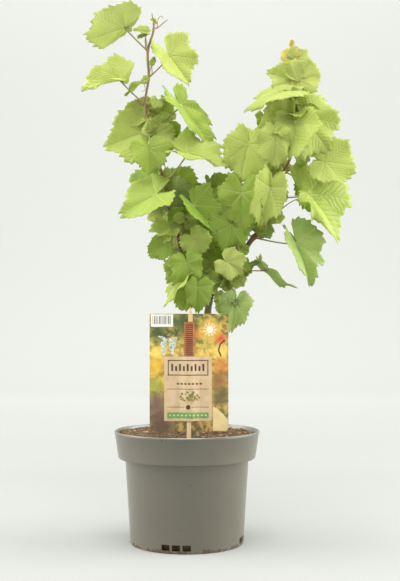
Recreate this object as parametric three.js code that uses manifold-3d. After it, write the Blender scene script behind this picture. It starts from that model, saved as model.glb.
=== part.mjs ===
// A young potted grapevine: a nursery pot of soil, a short trunk with two shoots, its larger
// leaves one by one, the crowded ones as masses, and a care label on a bamboo stick.
// Millimetres, +Z up. The origin is the centre of the pot's flat underside; -Y is the label side.
import * as THREE from 'three';
import { mergeVertices } from 'three/addons/utils/BufferGeometryUtils.js';
import Module from 'manifold-3d';

const wasm = await Module();
wasm.setup();

// ---- Driving dimensions ----
const GAP = 0.35; // clearance between pieces that rest on or pass each other
const POT = {
  height: 134, rim: 86.4, collarFoot: 82.1, collarHeight: 32.4, shoulder: 73.8, foot: 67.8,
  wall: 2.2, floor: 3, facets: 24,
};
const SLOT = { groups: 4, turn: -10, ribs: 2, width: 34, rib: 2.6, bottom: 3.2, height: 7.2 };
const SOIL = { surface: 127, slope: 0.045, lump: 1.3, foot: 13 };
const TRUNK = { foot: [7, 0], headCentre: [29, 0, 300], headSize: 6.6, flare: 8, radius: 4.6, top: 4.2 };
const STUB = { tip: [39, -2, 295], radius: 1.3 };
const LABEL = { width: 91, height: 136, thick: 0.8, centre: 2.9, foot: 137.2, front: -46, corner: 7 };
const STICK = { width: 5, thick: 2, top: 280.5, point: 9, foot: 98, lean: 2.4, centre: 3.4 };
const SLEEVE = { width: 12, wall: 0.7, bottom: 147, top: 264 };
const LEAF = { thick: 1.2, spokes: 14, wave: 0.035 };
const MASS_LEAF = { thick: 2.4, spokes: 8 };
const PETIOLE = { radius: 0.9, steps: 2, sides: 4, sag: 0.06 };
const STALK = { ...PETIOLE, radius: 1.4, steps: 1, sides: 3 };

// Each shoot: its nodes from the trunk's head to its tip, x, y, z and radius.
const SHOOTS = {
  left: [
    [28, 0, 303, 2.6], [8, -1, 330, 2.3], [-6, -3, 344, 2.4], [-13, -5, 374, 2.3],
    [-25, -5, 410, 1.9], [-27, -6, 429, 2.1], [-44, -5, 482, 1.6], [-44, -5, 493, 1.8],
    [-50, -3, 524, 1.7], [-46, 0, 557, 1.7], [-47, 0, 589, 1.7], [-40, 0, 615, 1.5],
    [-42, 0, 634, 0.6],
  ],
  right: [
    [31, 0, 303, 3], [47, -3, 320, 2.5], [49, -4, 328, 2.3], [65, -5, 345, 3.2],
    [80, -5, 365, 3.4], [94, -4, 379, 2.4], [103, -2, 406, 2.2], [105, -2, 413, 2.4],
    [110, 0, 432, 2.1], [125, 3, 464, 1.8], [129, 6, 530, 1.5], [131, 6, 560, 1.3],
    [125, 2, 599, 0.6],
  ],
};
// The heights at which a shoot is divided into its lower, middle and upper lengths.
const DIVISIONS = { left: [303, 374, 493, 634], right: [303, 365, 432, 599] };
const SPANS = ['lower', 'middle', 'upper'];

// Half of a leaf's outline: angle from the midrib in degrees, reach as a share of its length.
const OUTLINE = [
  [0, 1], [22, 0.82], [46, 0.88], [70, 0.76], [96, 0.72], [124, 0.62], [152, 0.46], [180, 0.08],
];

// Leaves by node. Each row: shoot, height on it, reach to the blade's joint (x, y, z), length,
// width factor, then in degrees the midrib's aim in the front view, how far it points forward,
// the blade's roll about it, the fold of its halves and the droop of its tip.
const LEAVES = {
  leaf_left_top: [['left', 589, [-26, -10, 26], 52, 0.9, 199, 0, 118, 14, 8]],
  leaf_left_second: [['left', 524, [-28, -9, 27], 51, 0.74, 190, 0, 42, 42, 12]],
  leaf_left_hanging: [['left', 557, [24, 10, 29], 41, 1.05, -52, 0, -25, 20, 15]],
  leaf_left_far: [['left', 493, [37, -10, 28], 58, 0.7, -51, 0, -46, 24, 10]],
  leaf_left_broad: [['left', 478, [-11, 9, 13], 45, 1.05, 200, 0, 10, 12, 12]],
  leaf_left_inner: [['left', 493, [-1, -21, -25], 30, 1.05, -88, 0, -15, 20, 10]],
  leaf_between: [['left', 429, [27, -24, 32], 50, 0.78, -14, 0, -52, 26, 10]],
  leaf_left_large: [['left', 429, [-9, -20, -16], 47, 0.92, 207, 0, 44, 10, 12]],
  leaf_left_small: [['left', 429, [3, 7, 1], 22, 0.9, 55, 0, 20, 20, 5]],
  leaf_left_side_upper: [['left', 374, [-4, -13, 3], 28, 0.95, 188, 0, 45, 10, 10]],
  leaf_left_side_lower: [['left', 350, [-21, -21, 4], 21, 0.9, -128, 0, 0, 10, 10]],
  leaf_left_low: [['left', 344, [-1, -23, -17], 23, 0.95, -142, 0, 0, 10, 10]],
  leaf_right_edge: [['right', 328, [47, -8, -2], 43, 0.42, -44, 0, 78, 15, 15]],
  leaf_right_low: [['right', 365, [49, -11, -8], 56, 0.62, -66, 0, -30, 36, 10]],
  leaf_right_big: [['right', 413, [38, -22, 1], 64, 1.06, -47, 0, -38, 18, 28]],
  leaf_right_outer: [['right', 445, [46, -23, 8], 40, 0.95, -8, 0, -10, 10, 10]],
  leaf_right_shelf: [['right', 530, [7, -20, -1], 38, 0.7, -14, 0, -50, 14, 20]],
  leaf_centre: [['right', 432, [-38, -28, 40], 46, 0.86, -102, 0, 10, 12, 12]],
  leaf_top_arm: [['right', 520, [-12, -32, 14], 52, 0.7, 190, 0, 60, 12, 30]],
  mass_left_inner: [
    ['left', 524, [13, 15, -6], 28, 1, -60, 0, 0, 10, 10],
    ['left', 493, [6, -5, -6], 26, 1, 28, 0, -10, 10, 5],
  ],
  mass_foot: [
    ['left', 330, [-8, -37, 3], 31, 0.8, -78, 0, 0, 15, 15],
    ['left', 330, [-12, -29, -18], 34, 0.7, -128, 0, 62, 20, 10],
    ['left', 325, [-10, -21, -24], 26, 1, -112, 0, 0, 10, 10],
    ['left', 318, [-4, -39, -14], 29, 0.75, -92, 0, 0, 15, 15],
  ],
  mass_heart: [
    ['left', 358, [18, -26, 4], 24, 1, -50, 0, 10, 5, 10],
    ['left', 374, [21, -27, 26], 37, 1, -48, 0, -35, 35, 15],
    ['left', 410, [8, 7, 7], 36, 1, -50, 0, 15, 15, 10],
    ['left', 395, [71, -11, 23], 30, 1, 168, 0, 20, 10, 10],
  ],
  mass_middle: [
    ['right', 413, [-40, -26, 2], 46, 0.8, -90, 0, 10, 15, 15],
    ['right', 365, [-27, -19, 13], 34, 1, -105, 0, -10, 10, 10],
    ['right', 345, [-31, 11, 11], 40, 1, -90, 0, 0, 10, 10],
  ],
  mass_low: [
    ['right', 328, [-2, -26, 6], 24, 1, -38, 0, 0, 10, 10],
    ['right', 328, [10, -12, -13], 13, 1, -45, 0, 0, 10, 5],
    ['right', 320, [2, -9, -8], 14, 0.7, -110, 0, 0, 10, 5],
  ],
  mass_label_side: [
    ['head', 300, [16, -16, -9], 22, 0.7, -95, 0, 0, 10, 10],
    ['head', 300, [29, -22, -13], 34, 0.72, -100, 0, 0, 15, 10],
  ],
  mass_right_inner: [
    ['right', 413, [-8, -34, 7], 48, 0.6, -104, 0, -15, 20, 10],
    ['right', 413, [-14, 12, 27], 22, 1, 215, 0, 20, 10, 5],
    ['right', 376, [0, -2, 0], 15, 1, -60, 0, 0, 10, 5],
  ],
  mass_right_crown: [
    ['right', 500, [-5, -37, -3], 54, 0.8, -115, 0, 15, 12, 15],
    ['right', 464, [-22, -43, 13], 36, 0.7, -95, 0, 0, 15, 10],
    ['right', 500, [8, -33, 3], 52, 0.95, -50, 0, -10, 12, 15],
    ['right', 500, [2, -23, 14], 35, 1, 188, 0, 55, 12, 15],
  ],
  mass_top: [
    ['right', 560, [-7, -18, -9], 29, 0.9, 160, 0, 0, 10, 10],
    ['right', 560, [1, -20, -9], 30, 0.95, 12, 0, 0, 10, 10],
    ['right', 584, [-2, -12, -6], 16, 1, 135, 0, 0, 10, 5],
    ['right', 584, [2, -12, -8], 18, 1, 42, 0, 0, 10, 5],
  ],
  mass_back_left: [
    ['left', 493, [-8, 26, 4], 38, 1, 195, -35, 20, 10, 15],
    ['left', 429, [-14, 28, -2], 42, 1, 205, -30, 25, 10, 15],
    ['left', 429, [14, 30, 6], 34, 1, -60, -20, 10, 10, 15],
  ],
  mass_back_low: [
    ['left', 344, [6, 30, -14], 34, 1, -100, -20, 0, 10, 15],
    ['right', 345, [-24, 32, 24], 40, 1, -100, -25, 0, 10, 15],
    ['right', 345, [-40, 24, 60], 36, 1, 150, -25, 10, 10, 15],
  ],
  mass_back_right: [
    ['right', 432, [-24, 30, 34], 42, 1, 150, -30, 10, 10, 15],
    ['right', 445, [40, 26, -12], 44, 1, -40, -25, 0, 10, 20],
    ['right', 530, [-4, 22, 12], 34, 1, 165, -30, 30, 10, 15],
  ],
};

// The heart of each mass: shoot, height on it, offset to its centre and its half sizes.
const CORES = {
  mass_left_inner: ['left', 508, [2, 6, 0], [8, 12, 18]],
  mass_foot: ['left', 330, [-4, -18, -12], [12, 16, 22]],
  mass_heart: ['left', 385, [30, -10, 10], [18, 13, 30]],
  mass_middle: ['right', 365, [-34, -8, 18], [20, 14, 34]],
  mass_low: ['right', 328, [3, -16, 0], [8, 9, 13]],
  mass_label_side: ['head', 300, [20, -14, -10], [10, 8, 8]],
  mass_right_inner: ['right', 396, [-10, -14, 4], [11, 14, 28]],
  mass_right_crown: ['right', 482, [-2, -18, 4], [16, 16, 30]],
  mass_top: ['right', 560, [-1, -12, 2], [8, 9, 24]],
  mass_back_left: ['left', 460, [-4, 20, -2], [12, 12, 34]],
  mass_back_low: ['right', 345, [-28, 18, 8], [20, 12, 30]],
  mass_back_right: ['right', 480, [2, 18, 4], [12, 10, 44]],
};

// ---- Helpers ----
const radians = THREE.MathUtils.degToRad;
const group = new THREE.Group();
const placed = []; // every solid so far, with one grown by GAP that later pieces are cut round

function solidOf(geometry) {
  const bare = geometry.index ? geometry.clone() : geometry;
  bare.deleteAttribute('normal');
  bare.deleteAttribute('uv');
  const merged = mergeVertices(bare, 1e-4);
  const build = (triVerts) => new wasm.Manifold(new wasm.Mesh({
    numProp: 3, vertProperties: new Float32Array(merged.attributes.position.array), triVerts,
  }));
  const triVerts = new Uint32Array(merged.index.array);
  const solid = build(triVerts);
  return solid.volume() > 0 ? solid : build(triVerts.reverse());
}

function geometryOf(solid) {
  const { vertProperties, triVerts } = solid.getMesh();
  const geometry = new THREE.BufferGeometry();
  geometry.setAttribute('position', new THREE.BufferAttribute(vertProperties, 3));
  geometry.setIndex(new THREE.BufferAttribute(triVerts, 1));
  geometry.computeVertexNormals();
  return geometry;
}

function largest(solid) {
  return solid.decompose().sort((a, b) => b.volume() - a.volume())[0];
}

function boxesMeet(a, b) {
  return [0, 1, 2].every((i) => a.min[i] < b.max[i] && b.min[i] < a.max[i]);
}

// Adds a node, cut round what already stands there. make(grow) returns its solid, grown by grow.
function place(name, material, make) {
  let solid = make(0);
  for (const other of placed) {
    if (boxesMeet(solid.boundingBox(), other.box)) solid = solid.subtract(other.grown);
  }
  const grown = make(GAP);
  placed.push({ grown, box: grown.boundingBox() });
  const mesh = new THREE.Mesh(geometryOf(largest(solid)), material);
  mesh.name = name;
  group.add(mesh);
}

// Moves every vertex of a geometry to where shift puts it.
function reshape(geometry, shift) {
  const position = geometry.attributes.position;
  const point = new THREE.Vector3();
  for (let i = 0; i < position.count; i += 1) {
    shift(point.fromBufferAttribute(position, i));
    position.setXYZ(i, point.x, point.y, point.z);
  }
  return geometry;
}

// A limb with closed ends along a curve, its radius given along the way.
function limb(curve, radiusAt, sides, steps) {
  const frames = curve.computeFrenetFrames(steps, false);
  const straight = new THREE.CylinderGeometry(1, 1, 1, sides, steps);
  return solidOf(reshape(straight, (p) => {
    const step = Math.round((p.y + 0.5) * steps);
    const share = step / steps;
    const radius = radiusAt(share);
    const [x, z] = [p.x * radius, p.z * radius];
    p.copy(curve.getPointAt(share));
    p.addScaledVector(frames.normals[step], x).addScaledVector(frames.binormals[step], z);
  }));
}

// ---- Materials ----
const finish = (color, roughness) => new THREE.MeshStandardMaterial({ color, roughness });
const potPlastic = finish(0x8f8e80, 0.45);
const pottingSoil = finish(0x5b452c, 0.95);
const bark = finish(0x6a5a42, 0.85);
const cane = finish(0x7d5a3c, 0.7);
const foliage = finish(0x8fb336, 0.55);
const foliageShade = finish(0x6b9230, 0.55);
const cardStock = finish(0xc9a65a, 0.5);
const bamboo = finish(0xd9bd8c, 0.6);

// ---- Pot ----
function potSolid(grow) {
  const { height, rim, collarFoot, collarHeight, shoulder, foot, wall, floor, facets } = POT;
  const ledge = height - collarHeight;
  const outside = [
    [foot, 0], [shoulder, ledge], [collarFoot - 1, ledge],
    [collarFoot, ledge + 1.2], [rim, height - 1.6], [rim - 0.8, height],
  ];
  const inside = [
    [rim - wall, height], [collarFoot - wall, ledge + wall], [shoulder - wall, ledge + wall],
    [foot - wall, floor],
  ];
  const profile = [[0, 0], ...outside, ...inside, [0, floor]];
  let pot = solidOf(new THREE.LatheGeometry(profile.map(([r, z]) => new THREE.Vector2(r, z)), facets)
    .rotateX(Math.PI / 2));
  if (grow) return pot;
  const pieces = SLOT.ribs + 1;
  const opening = (SLOT.width - SLOT.ribs * SLOT.rib) / pieces;
  for (let side = 0; side < SLOT.groups; side += 1) {
    for (let piece = 0; piece < pieces; piece += 1) {
      const across = (piece - SLOT.ribs / 2) * (opening + SLOT.rib);
      const box = new THREE.BoxGeometry(opening, 12, SLOT.height)
        .translate(across, -foot, SLOT.bottom + SLOT.height / 2)
        .rotateZ(radians(SLOT.turn + (360 / SLOT.groups) * side));
      pot = pot.subtract(solidOf(box));
    }
  }
  return pot;
}

// The soil's surface: higher on the left, lumpy, and level where the trunk stands.
function soilHeight(x, y) {
  const away = Math.hypot(x - TRUNK.foot[0], y - TRUNK.foot[1]);
  const uneven = THREE.MathUtils.smoothstep(away, SOIL.foot, SOIL.foot * 2.2);
  const lumps = Math.sin(x * 0.11 + 1) * Math.cos(y * 0.13) + 0.6 * Math.sin(x * 0.23 - y * 0.19);
  return SOIL.surface + uneven * (SOIL.lump * lumps - SOIL.slope * x);
}

function soilSolid() {
  const { height, collarFoot, collarHeight, shoulder, foot, wall, floor, rim, facets } = POT;
  const ledge = height - collarHeight;
  const clear = wall + 0.6; // measured at the pot's facets, which the soil's line up with
  const edge = collarFoot + (rim - collarFoot) * ((SOIL.surface - ledge) / collarHeight) - clear;
  const profile = [
    [0, floor + GAP], [foot - clear, floor + GAP], [shoulder - clear, ledge + wall + GAP],
    [collarFoot - clear, ledge + wall + GAP],
    [edge, SOIL.surface], [46, SOIL.surface], [0, SOIL.surface],
  ];
  const body = new THREE.LatheGeometry(profile.map(([r, z]) => new THREE.Vector2(r, z)), facets)
    .rotateX(Math.PI / 2);
  return solidOf(reshape(body, (p) => {
    if (p.z > SOIL.surface - 0.01) p.z = soilHeight(p.x, p.y);
  }));
}

// ---- Trunk and shoots ----
function trunkSolid(grow) {
  const [x, y] = TRUNK.foot;
  const foot = SOIL.surface + GAP - grow;
  const [headX, headY, headZ] = TRUNK.headCentre;
  const curve = new THREE.CatmullRomCurve3([
    new THREE.Vector3(x, y, foot), new THREE.Vector3(x + 2, y, foot + 26),
    new THREE.Vector3(x + 11, y + 1, 212), new THREE.Vector3(headX - 4, headY, 275),
    new THREE.Vector3(headX - 1, headY, headZ),
  ]);
  const stem = limb(curve, (share) => {
    const flare = (TRUNK.flare - TRUNK.radius) * Math.exp(-share * 14);
    return TRUNK.radius + flare + (TRUNK.top - TRUNK.radius) * share + grow;
  }, 8, 8);
  const head = solidOf(reshape(new THREE.IcosahedronGeometry(1, 1), (p) => {
    const knob = 1 + 0.16 * Math.sin(p.x * 5 + 1) * Math.cos(p.z * 6) + 0.1 * Math.sin(p.y * 7);
    p.multiplyScalar(TRUNK.headSize * knob + grow).add(new THREE.Vector3(headX, headY, headZ));
  }));
  const stub = limb(
    new THREE.LineCurve3(new THREE.Vector3(headX, headY, headZ), new THREE.Vector3(...STUB.tip)),
    (share) => STUB.radius * (1.6 - 0.6 * share) + grow, 5, 1,
  );
  // The foot is one level cut, so what grew below it is trimmed off.
  const below = solidOf(new THREE.BoxGeometry(60, 60, 40).translate(x, y, foot - 20));
  return stem.add(head).add(stub).subtract(below);
}

const nodeCurves = Object.fromEntries(Object.entries(SHOOTS).map(([name, nodes]) => [
  name, new THREE.CatmullRomCurve3(nodes.map(([x, y, z]) => new THREE.Vector3(x, y, z))),
]));

// The share of the way along a shoot at which it reaches a height.
function shareAt(name, height) {
  const curve = nodeCurves[name];
  let [low, high] = [0, 1];
  for (let i = 0; i < 24; i += 1) {
    const middle = (low + high) / 2;
    if (curve.getPointAt(middle).z < height) low = middle;
    else high = middle;
  }
  return (low + high) / 2;
}

function radiusOf(name, z) {
  const nodes = SHOOTS[name];
  const above = Math.max(1, nodes.findIndex((node) => node[2] >= z));
  const [a, b] = [nodes[above - 1], nodes[above]];
  const share = THREE.MathUtils.clamp((z - a[2]) / (b[2] - a[2]), 0, 1);
  return THREE.MathUtils.lerp(a[3], b[3], share);
}

function shootSpan(name, bottom, top, grow) {
  const curve = nodeCurves[name];
  const gap = (GAP / 2 - grow) / curve.getLength();
  const [from, to] = [shareAt(name, bottom) + gap, shareAt(name, top) - gap];
  const piece = new THREE.CatmullRomCurve3(Array.from({ length: 13 }, (_, i) =>
    curve.getPointAt(THREE.MathUtils.clamp(from + (to - from) * (i / 12), 0, 1))));
  return limb(piece, (share) => radiusOf(name, piece.getPointAt(share).z) + grow, 6, 5);
}

// ---- Leaves ----
function outlineAt(angle) {
  const away = Math.abs(THREE.MathUtils.radToDeg(angle));
  const step = Math.max(1, OUTLINE.findIndex(([at]) => at >= away - 0.01));
  const [[a, reachA], [b, reachB]] = [OUTLINE[step - 1], OUTLINE[step]];
  return reachA + (reachB - reachA) * ((away - a) / (b - a));
}

// A point of a blade: out from its joint at an angle from the midrib, height above its face.
function bladePoint(leaf, share, angle, height) {
  const reach = leaf.length * outlineAt(angle) * share;
  const [along, across] = [reach * Math.cos(angle), reach * Math.sin(angle) * leaf.width];
  const ripple = LEAF.wave * leaf.length * share * share * Math.sin(angle * 5 + leaf.length);
  const fold = radians(leaf.fold);
  const lift = Math.abs(across) * Math.sin(fold) + ripple + height;
  const radius = leaf.length / radians(leaf.droop);
  const turn = along / radius;
  return [
    (radius + lift) * Math.sin(turn), across * Math.cos(fold),
    (radius + lift) * Math.cos(turn) - radius,
  ];
}

// The directions of a blade: along its midrib, across it and out of its face.
function bladeAxes(leaf) {
  const [aim, out, roll] = [leaf.aim, leaf.out, leaf.roll].map(radians);
  const along = new THREE.Vector3(
    Math.cos(aim) * Math.cos(out), -Math.sin(out), Math.sin(aim) * Math.cos(out));
  const face = new THREE.Vector3(0, -1, 0).addScaledVector(along, along.y).normalize();
  face.applyAxisAngle(along, roll);
  return [along, face.clone().cross(along), face];
}

function bladeSolid(leaf, kind, grow) {
  const half = kind.thick / 2 + grow;
  const edge = 1 + grow / leaf.length;
  const profile = [[0, -half], [edge, -half], [edge, half], [0, half]];
  const disc = new THREE.LatheGeometry(profile.map(([r, h]) => new THREE.Vector2(r, h)), kind.spokes);
  const outlineSteps = OUTLINE.length - 1;
  const [along, across, face] = bladeAxes(leaf);
  return solidOf(reshape(disc, (p) => {
    // Spokes are even on the disc; each takes the angle of its own point of the outline.
    const turn = Math.atan2(p.x, p.z) / Math.PI;
    const angle = Math.sign(turn) * radians(OUTLINE[Math.round(Math.abs(turn) * outlineSteps)][0]);
    const [u, v, w] = bladePoint(leaf, Math.hypot(p.x, p.z), angle, p.y);
    p.copy(leaf.joint).addScaledVector(along, u).addScaledVector(across, v).addScaledVector(face, w);
  }));
}

function petioleSolid(leaf, kind, grow) {
  const start = leaf.start;
  const middle = start.clone().lerp(leaf.joint, 0.5);
  middle.z -= kind.sag * start.distanceTo(leaf.joint);
  const curve = new THREE.QuadraticBezierCurve3(start, middle, leaf.joint);
  return limb(curve, () => kind.radius + grow, kind.sides, kind.steps);
}

// A point reached from a shoot, or from the trunk's head.
function from(shoot, height, reach) {
  const start = shoot === 'head'
    ? new THREE.Vector3(...TRUNK.headCentre)
    : nodeCurves[shoot].getPointAt(shareAt(shoot, height));
  return [start, start.clone().add(new THREE.Vector3(...reach))];
}

function leafFrom(row) {
  const [shoot, height, reach, length, width, aim, out, roll, fold, droop] = row;
  const [start, joint] = from(shoot, height, reach);
  return { start, joint, length, width, aim, out, roll, fold, droop };
}

function leafSolid([row], grow) {
  const leaf = leafFrom(row);
  return bladeSolid(leaf, LEAF, grow).add(petioleSolid(leaf, PETIOLE, grow));
}

// A mass: an uneven core round the crowded petioles, with its leaves' blades standing from it.
function massSolid(rows, core, grow) {
  const [shoot, height, offset, size] = core;
  const [, centre] = from(shoot, height, offset);
  const lump = new THREE.IcosahedronGeometry(1, 0);
  const heart = solidOf(reshape(lump, (p) => {
    const uneven = 1 + 0.14 * Math.sin(p.x * 4 + height) * Math.cos(p.z * 3 + p.y * 4);
    p.set(...size.map((half, i) => p.getComponent(i) * (half * uneven + grow))).add(centre);
  }));
  return rows.map(leafFrom).reduce((all, leaf) => {
    const stalk = petioleSolid({ ...leaf, start: centre }, STALK, grow);
    return all.add(bladeSolid(leaf, MASS_LEAF, grow)).add(stalk);
  }, heart);
}

// ---- Care label ----
function labelSolid(grow) {
  const { width, height, thick, centre, foot, front, corner } = LABEL;
  const [left, right] = [centre - width / 2 - grow, centre + width / 2 + grow];
  const [bottom, top] = [foot - grow, foot + height + grow];
  const outline = new THREE.Shape()
    .moveTo(left, top).lineTo(left, bottom + corner)
    .absarc(left + corner, bottom + corner, corner, Math.PI, Math.PI * 1.5)
    .lineTo(right - corner, bottom)
    .absarc(right - corner, bottom + corner, corner, Math.PI * 1.5, Math.PI * 2)
    .lineTo(right, top);
  const sheet = new THREE.ExtrudeGeometry(outline, {
    depth: thick + 2 * grow, bevelEnabled: false, curveSegments: 5,
  });
  return solidOf(sheet.rotateX(Math.PI / 2).translate(0, front + thick + grow, 0));
}

// The stick leans a little; it stands just in front of the card.
function stickSolid(grow) {
  const { width, thick, top, point, foot, lean, centre } = STICK;
  const half = width / 2 + grow;
  const outline = new THREE.Shape()
    .moveTo(-half, foot - grow).lineTo(half, foot - grow)
    .lineTo(half, top - point).lineTo(0.6, top + grow).lineTo(-0.6, top + grow)
    .lineTo(-half, top - point);
  const blank = new THREE.ExtrudeGeometry(outline, { depth: thick + 2 * grow, bevelEnabled: false });
  const back = LABEL.front - GAP;
  return solidOf(reshape(blank.rotateX(Math.PI / 2).translate(0, back + grow, 0), (p) => {
    p.x += centre + lean * ((p.z - foot) / (top - foot) - 0.5);
  }));
}

// A flat arch of card over the stick, open at both ends.
function sleeveSolid(grow) {
  const { width, wall, bottom, top } = SLEEVE;
  const back = LABEL.front - GAP;
  const room = STICK.thick + 2 * GAP;
  const [half, inner] = [width / 2, STICK.width / 2 + STICK.lean / 2 + GAP * 2];
  const arch = [
    [-half, 0], [-half + 1.2, -wall - grow], [-inner - wall, -room - wall - grow],
    [inner + wall, -room - wall - grow], [half - 1.2, -wall - grow], [half, 0],
    [inner, 0], [inner, -room], [-inner, -room], [-inner, 0],
  ];
  const section = new THREE.Shape(arch.map(([x, y]) => new THREE.Vector2(x, y)));
  const length = top - bottom + 2 * grow;
  const arcade = new THREE.ExtrudeGeometry(section, { depth: length, bevelEnabled: false });
  return solidOf(arcade.translate(STICK.centre, back, bottom - grow));
}

// ---- Assembly ----
place('pot', potPlastic, potSolid);
place('trunk', bark, trunkSolid);
place('label_card', cardStock, labelSolid);
place('label_stick', bamboo, stickSolid);
place('label_sleeve', cardStock, sleeveSolid);
place('soil', pottingSoil, soilSolid);
for (const name of Object.keys(SHOOTS)) {
  SPANS.forEach((span, i) => {
    const [bottom, top] = [DIVISIONS[name][i], DIVISIONS[name][i + 1]];
    place(`shoot_${name}_${span}`, cane, (grow) => shootSpan(name, bottom, top, grow));
  });
}
for (const [name, rows] of Object.entries(LEAVES)) {
  const core = CORES[name];
  if (core) place(name, foliageShade, (grow) => massSolid(rows, core, grow));
  else place(name, foliage, (grow) => leafSolid(rows, grow));
}

export default group;
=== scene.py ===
# %% [markdown]
# # A young grapevine in its nursery pot
#
# The plant stands in a round plastic nursery pot. A short woody trunk rises from the soil to a
# knobbly head, and two young shoots grow from it. Large lobed leaves hang from the shoots on
# long reddish stalks. A printed care card leans behind a flat bamboo stick.
#
# Everything is measured in millimetres here and turned into metres where a mesh is made. The
# origin is the centre of the pot's underside, Z is up, and the card faces -Y.

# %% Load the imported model
import math
import random

import bmesh
import bpy
import numpy as np
from mathutils import Matrix, Vector, noise


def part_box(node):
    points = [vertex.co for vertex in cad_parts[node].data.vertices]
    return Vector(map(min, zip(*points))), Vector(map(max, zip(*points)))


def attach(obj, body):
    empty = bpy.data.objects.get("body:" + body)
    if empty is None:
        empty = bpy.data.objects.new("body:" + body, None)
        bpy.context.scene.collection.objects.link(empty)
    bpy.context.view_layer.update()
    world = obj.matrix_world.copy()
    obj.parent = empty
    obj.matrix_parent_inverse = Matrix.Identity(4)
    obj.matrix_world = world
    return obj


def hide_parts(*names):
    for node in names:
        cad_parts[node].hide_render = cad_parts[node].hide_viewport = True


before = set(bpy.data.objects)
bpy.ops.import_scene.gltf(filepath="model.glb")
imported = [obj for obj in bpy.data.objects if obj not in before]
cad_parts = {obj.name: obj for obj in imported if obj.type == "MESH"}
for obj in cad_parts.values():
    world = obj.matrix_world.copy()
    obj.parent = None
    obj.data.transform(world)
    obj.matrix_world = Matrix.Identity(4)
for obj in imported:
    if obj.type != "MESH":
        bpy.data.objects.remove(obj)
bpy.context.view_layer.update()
MM = 0.001

# %% [markdown]
# ## Camera, floor and light
#
# The pot stands on a pale floor that curves up into a pale wall, in soft light from above and
# from both sides. The camera is level, a little below the place where the shoots part, so the
# rim shows as a thin ellipse. Three large soft lights shade the leaves without hard shadows.

# %% Camera
def in_scene(name, data):
    """A new object of the scene that shows the given data."""
    made = bpy.data.objects.new(name, data)
    bpy.context.scene.collection.objects.link(made)
    return made


camera = in_scene("camera", bpy.data.cameras.new("camera"))
camera.location = (0.0156, -1.22, 0.266)
camera.rotation_euler = (math.pi / 2, 0, 0)
camera.data.lens = 63
camera.data.sensor_width = 36
camera.data.shift_y = 0.0508
bpy.context.scene.camera = camera
bpy.context.scene.view_settings.view_transform = "Standard"
print("camera lens", camera.data.lens)

# %% Node helpers
def feed(tree, node, inputs):
    """Sets each named input of a node, or links it where another node's output is given."""
    for name, value in inputs.items():
        if isinstance(value, bpy.types.NodeSocket):
            tree.links.new(value, node.inputs[name])
        else:
            node.inputs[name].default_value = value


def add_node(tree, kind, inputs, **settings):
    """Adds a node, sets its options, then sets or links its inputs."""
    made = tree.nodes.new(kind)
    for name, value in settings.items():
        setattr(made, name, value)
    feed(tree, made, inputs)
    return made


def use_group(tree, group, **inputs):
    """Places a node group in a tree and gives its outputs."""
    return add_node(tree, "ShaderNodeGroup", inputs, node_tree=group).outputs


def node_math(tree, operation, first, second=0.0):
    """One step of arithmetic on two numbers or outputs."""
    return add_node(tree, "ShaderNodeMath", {0: first, 1: second}, operation=operation).outputs[0]


def ranged(tree, value, low, high, first=0.0, last=1.0, smooth=False):
    """Turns low..high into first..last and holds it at both ends."""
    return add_node(tree, "ShaderNodeMapRange", {
        "Value": value, "From Min": low, "From Max": high, "To Min": first, "To Max": last},
        interpolation_type="SMOOTHSTEP" if smooth else "LINEAR").outputs["Result"]


def blended(tree, share, under, over):
    """A colour laid over another by a share from 0 to 1."""
    return add_node(tree, "ShaderNodeMixRGB", {
        "Fac": share, "Color1": under, "Color2": over}).outputs["Color"]


def along_axis(tree, place, axis):
    """One of the three coordinates, X, Y or Z."""
    return add_node(tree, "ShaderNodeSeparateXYZ", {"Vector": place}).outputs[axis]


def noise_at(tree, place, scale, detail, **more):
    """Soft noise from 0 to 1."""
    return add_node(tree, "ShaderNodeTexNoise", {
        "Vector": place, "Scale": scale, "Detail": detail, **more}).outputs["Fac"]


def colour(red, green, blue):
    """A colour given as on screen, 0 to 255, as the renderer wants it."""
    return (*[((c / 255 + 0.055) / 1.055) ** 2.4 if c > 10 else c / 3295
              for c in (red, green, blue)], 1)


def colour_stops(tree, value, stops):
    """A run of colours; stops are pairs of place and colour."""
    run = add_node(tree, "ShaderNodeValToRGB", {"Fac": value})
    kept = run.color_ramp.elements
    for index, (where, shade) in enumerate(stops):
        stop = kept[index] if index < 2 else kept.new(where)
        stop.position, stop.color = where, colour(*shade)
    return run.outputs["Color"]


def new_material(name, roughness, specular=0.5):
    """A material with one Principled shader; gives its tree, that shader and object coordinates."""
    material = bpy.data.materials.new(name)
    material.use_nodes = True
    tree = material.node_tree
    shader = tree.nodes["Principled BSDF"]
    shader.inputs["Roughness"].default_value = roughness
    shader.inputs["Specular IOR Level"].default_value = specular
    place = tree.nodes.new("ShaderNodeTexCoord").outputs["Object"]
    return material, tree, shader, place


def new_group(name, inputs, outputs):
    """A node group with named sockets, given as (name, kind) pairs."""
    group = bpy.data.node_groups.new(name, "ShaderNodeTree")
    for way, sockets in (("INPUT", inputs), ("OUTPUT", outputs)):
        for socket, kind in sockets:
            group.interface.new_socket(socket, in_out=way, socket_type="NodeSocket" + kind)
    return group, group.nodes.new("NodeGroupInput").outputs, group.nodes.new("NodeGroupOutput")


# %% [markdown]
# ## Two effects that many finishes share
#
# Nothing on a plant or in a used pot has one flat colour. The first group drifts a colour
# towards a second one in soft patches. The second gives a fine uneven height for a bump. Both
# are built once and placed in each material with their own sizes.

# %% Shared effects
patches, given, result = new_group(
    "patches",
    [("Vector", "Vector"), ("Colour", "Color"), ("Other", "Color"), ("Scale", "Float"),
     ("Amount", "Float")],
    [("Colour", "Color")],
)
cloud = noise_at(patches, given["Vector"], given["Scale"], 4.0)
spread = ranged(patches, cloud, 0.38, 0.66, last=given["Amount"])
feed(patches, result, {"Colour": blended(patches, spread, given["Colour"], given["Other"])})

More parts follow.
